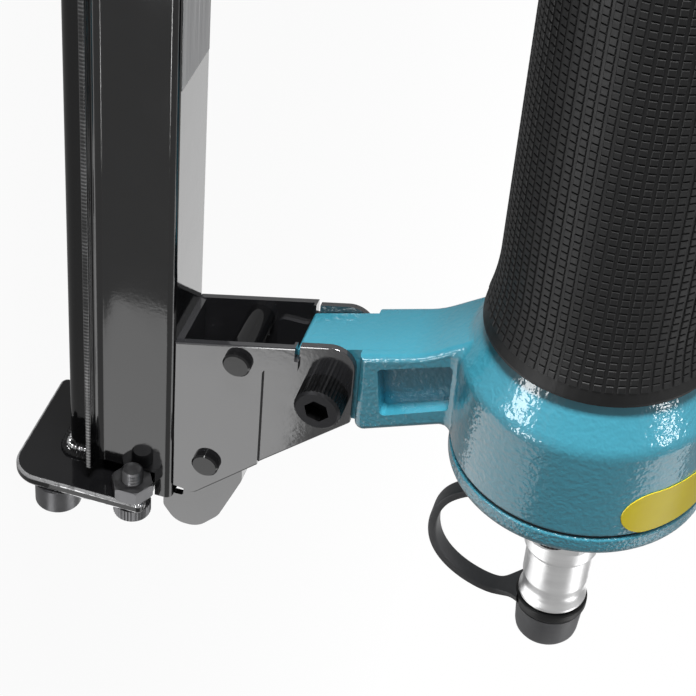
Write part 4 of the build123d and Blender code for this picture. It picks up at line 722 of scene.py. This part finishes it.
def set_floor():
    """Floor that looks white, a little less so near the tool, where its shadow shows."""
    bm = bmesh.new()
    bmesh.ops.create_grid(bm, x_segments=1, y_segments=1, size=FLOOR_SIZE)
    mesh = bpy.data.meshes.new("floor")
    bm.to_mesh(mesh)
    bm.free()
    floor = bpy.data.objects.new("floor", mesh)
    bpy.context.scene.collection.objects.link(floor)
    finish, tree, shader = start_finish("floor_white")
    shader.inputs["Base Color"].default_value = (0.3, 0.3, 0.3, 1)
    shader.inputs["Roughness"].default_value = 0.9
    glow = tree.nodes.new("ShaderNodeEmission")
    blend = tree.nodes.new("ShaderNodeMixShader")
    away = tree.nodes.new("ShaderNodeVectorMath")
    away.operation = "LENGTH"
    tree.links.new(object_coordinates(tree), away.inputs[0])
    white = spread(tree, away.outputs["Value"], 0.25, 0.8, 0.95, 1.0)
    share = combine(tree, "MULTIPLY", white, seen_or_mirrored(tree, FLOOR_MIRROR))
    tree.links.new(share, blend.inputs[0])
    tree.links.new(shader.outputs["BSDF"], blend.inputs[1])
    tree.links.new(glow.outputs["Emission"], blend.inputs[2])
    tree.links.new(blend.outputs["Shader"], tree.nodes["Material Output"].inputs["Surface"])
    mesh.materials.append(finish)


def set_world():
    """Soft world light behind a background that the camera sees as white."""
    world = bpy.data.worlds.new("studio")
    world.use_nodes = True
    bpy.context.scene.world = world
    tree = world.node_tree
    soft = tree.nodes["Background"]
    soft.inputs["Color"].default_value = (1, 1, 1, 1)
    soft.inputs["Strength"].default_value = WORLD_SOFT
    white = tree.nodes.new("ShaderNodeBackground")
    white.inputs["Color"].default_value = (1, 1, 1, 1)
    blend = tree.nodes.new("ShaderNodeMixShader")
    tree.links.new(seen_or_mirrored(tree, WORLD_MIRROR), blend.inputs[0])
    tree.links.new(soft.outputs["Background"], blend.inputs[1])
    tree.links.new(white.outputs["Background"], blend.inputs[2])
    tree.links.new(blend.outputs["Shader"], tree.nodes["World Output"].inputs["Surface"])


def add_lamp(name, place, size, power):
    """Rectangular lamp, not yet turned."""
    lamp = bpy.data.lights.new(name, "AREA")
    lamp.shape = "RECTANGLE"
    lamp.size, lamp.size_y = size
    lamp.energy = power
    light = bpy.data.objects.new(name, lamp)
    light.location = place
    bpy.context.scene.collection.objects.link(light)
    return light


def set_lights():
    """Lamps that point at a target, and cards on the floor that face up and show in reflections alone."""
    for name, place, target, size, power in LAMPS:
        light = add_lamp(name, place, size, power)
        light.rotation_euler = (Vector(target) - Vector(place)).to_track_quat("-Z", "Y").to_euler()
    for name, place, turn, size, power in CARDS:
        card = add_lamp(name, place, size, power)
        card.rotation_euler = (math.pi, 0, math.radians(turn))
        card.visible_diffuse = False


def set_camera():
    """Camera fitted to the photograph."""
    lens = bpy.data.cameras.new("camera")
    lens.lens = CAMERA_LENS
    lens.sensor_width = CAMERA_SENSOR
    lens.clip_start = 0.01
    lens.clip_end = 50
    camera = bpy.data.objects.new("camera", lens)
    ahead = Vector(CAMERA_AHEAD).normalized()
    side = ahead.cross(Vector(CAMERA_UP).normalized()).normalized()
    turn = Matrix((side, side.cross(ahead), -ahead)).transposed().to_4x4()
    camera.matrix_world = Matrix.Translation(CAMERA_PLACE) @ turn
    bpy.context.scene.collection.objects.link(camera)
    bpy.context.scene.camera = camera


# Operators

# Finish, colour, roughness, stretch of its streaks, and nodes
METALS = (
    ("plated_steel", (0.96, 0.96, 0.96), 0.34, (700, 60, 60), ("air_plug",)),
    ("zinc_steel", (0.16, 0.16, 0.165), 0.34, (900, 900, 900),
     ("tail_bolt", "tail_nut", "tail_stop_screw")),
    ("ground_steel", (0.52, 0.52, 0.54), 0.3, (300, 300, 4000),
     ("nose_block", "front_plate", "tray_nose", "tray_nose_pin", "driver_blade", "pusher", "trigger_pin")),
    ("black_oxide", (0.035, 0.035, 0.037), 0.36, (1500, 1500, 1500),
     ("end_cap_screws", "bracket_screw", "bracket_nut", "top_cap_screws", "deflector_screw", "nose_screws",
      "front_plate_screws")),
    ("turned_brass", (0.70, 0.50, 0.20), 0.25, (900, 900, 5000),
     ("valve_bushing", "valve_plug", "valve_stem")),
    ("machined_alloy", (0.72, 0.73, 0.75), 0.28, (500, 500, 6000),
     ("cylinder_sleeve", "piston", "head_valve")),
)


class STAPLER_OT_castings(bpy.types.Operator):
    """Enamels the casting and its caps, and finishes the sticker and the seals"""
    bl_idname = "stapler.castings"
    bl_label = "Enamel Castings"

    def execute(self, context):
        paint(blue_enamel_finish("blue_enamel", fine=1100, strength=0.72, gloss=0.1), "body_casting",
              "top_cap")
        paint(blue_enamel_finish("cap_enamel", fine=1500, strength=1.4, gloss=0.16), "end_cap")
        paint(sticker_finish(), "handle_sticker")
        paint(rubber_finish("gasket", rough=0.6, grain=2000), "end_cap_gasket", "cap_gasket", "bumper",
              "piston_ring", "head_valve_seal", "stem_ring")
        return {"FINISHED"}


class STAPLER_OT_magazine(bpy.types.Operator):
    """Enamels the magazine, bracket, latch and tail plate, and finishes the label"""
    bl_idname = "stapler.magazine"
    bl_label = "Enamel Magazine"

    def execute(self, context):
        paint(black_enamel_finish("black_enamel", shine=0.5, tone=1.0), "exhaust_deflector", "tray_rail",
              "front_bracket_pin", "latch_pin")
        # Painted light: the bracket and latch take the same black enamel at five times its tone, standing
        # in for the bright light their cheeks reflect.
        paint(black_enamel_finish("bracket_enamel_painted_lighter", shine=1.7, tone=5.0), "magazine_bracket", "latch_lever")
        paint(black_enamel_finish("channel_enamel", shine=0.8, tone=0.8, marks=flange_marks),
              "magazine_channel")
        paint(black_enamel_finish("plate_enamel", shine=0.5, tone=1.2, marks=rounded_edges), "tail_plate")
        paint(metal_finish("label_foil", (0.28, 0.28, 0.285), 0.48, (40, 4000, 4000)), "magazine_label")
        return {"FINISHED"}


class STAPLER_OT_metal(bpy.types.Operator):
    """Finishes the plug, fasteners, nose, drive and valve parts, and the trigger"""
    bl_idname = "stapler.metal"
    bl_label = "Finish Metal Parts"

    def execute(self, context):
        for name, colour, rough, streak, nodes in METALS:
            paint(metal_finish(name, colour, rough, streak), *nodes)
        paint(rubber_finish("trigger_plastic", rough=0.42, grain=3000), "trigger")
        return {"FINISHED"}


class STAPLER_OT_grip(bpy.types.Operator):
    """Makes the tiled rubber grip"""
    bl_idname = "stapler.grip"
    bl_label = "Make Grip"

    def execute(self, context):
        make_grip()
        return {"FINISHED"}


class STAPLER_OT_springs(bpy.types.Operator):
    """Winds the spring coils"""
    bl_idname = "stapler.springs"
    bl_label = "Wind Springs"

    def execute(self, context):
        make_coils()
        return {"FINISHED"}


class STAPLER_OT_dust_cap(bpy.types.Operator):
    """Makes the dust cap and its strap"""
    bl_idname = "stapler.dust_cap"
    bl_label = "Make Dust Cap"

    def execute(self, context):
        make_dust_cap()
        make_strap()
        return {"FINISHED"}


class STAPLER_OT_weld(bpy.types.Operator):
    """Makes the weld bead on the tail plate"""
    bl_idname = "stapler.weld"
    bl_label = "Make Weld"

    def execute(self, context):
        make_weld()
        return {"FINISHED"}


class STAPLER_OT_stage(bpy.types.Operator):
    """Sets the floor, light and camera"""
    bl_idname = "stapler.stage"
    bl_label = "Set Stage"

    def execute(self, context):
        set_floor()
        set_world()
        set_lights()
        set_camera()
        context.scene.view_settings.view_transform = "Standard"
        return {"FINISHED"}


# Panel and registration

class STAPLER_PT_panel(bpy.types.Panel):
    """Settings and operators in the sidebar"""
    bl_idname = "STAPLER_PT_panel"
    bl_label = "Pneumatic Stapler"
    bl_space_type = "VIEW_3D"
    bl_region_type = "UI"
    bl_category = "Stapler"

    def draw(self, context):
        for group in (context.scene.stapler_sizes, context.scene.stapler_colours):
            for name in group.bl_rna.properties.keys():
                if name not in ("rna_type", "name"):
                    self.layout.prop(group, name)
        for operator in OPERATORS:
            self.layout.operator(operator.bl_idname)


OPERATORS = (
    STAPLER_OT_castings,
    STAPLER_OT_magazine,
    STAPLER_OT_metal,
    STAPLER_OT_grip,
    STAPLER_OT_springs,
    STAPLER_OT_dust_cap,
    STAPLER_OT_weld,
    STAPLER_OT_stage,
)
CLASSES = (StaplerSizes, StaplerColours, *OPERATORS, STAPLER_PT_panel)


def register():
    for item in CLASSES:
        bpy.utils.register_class(item)
    bpy.types.Scene.stapler_sizes = bpy.props.PointerProperty(type=StaplerSizes)
    bpy.types.Scene.stapler_colours = bpy.props.PointerProperty(type=StaplerColours)


def unregister():
    del bpy.types.Scene.stapler_colours
    del bpy.types.Scene.stapler_sizes
    for item in reversed(CLASSES):
        bpy.utils.unregister_class(item)


def main():
    register()
    bpy.ops.stapler.castings()
    bpy.ops.stapler.magazine()
    bpy.ops.stapler.metal()
    bpy.ops.stapler.grip()
    bpy.ops.stapler.springs()
    bpy.ops.stapler.dust_cap()
    bpy.ops.stapler.weld()
    bpy.ops.stapler.stage()


if __name__ == "__main__":
    main()
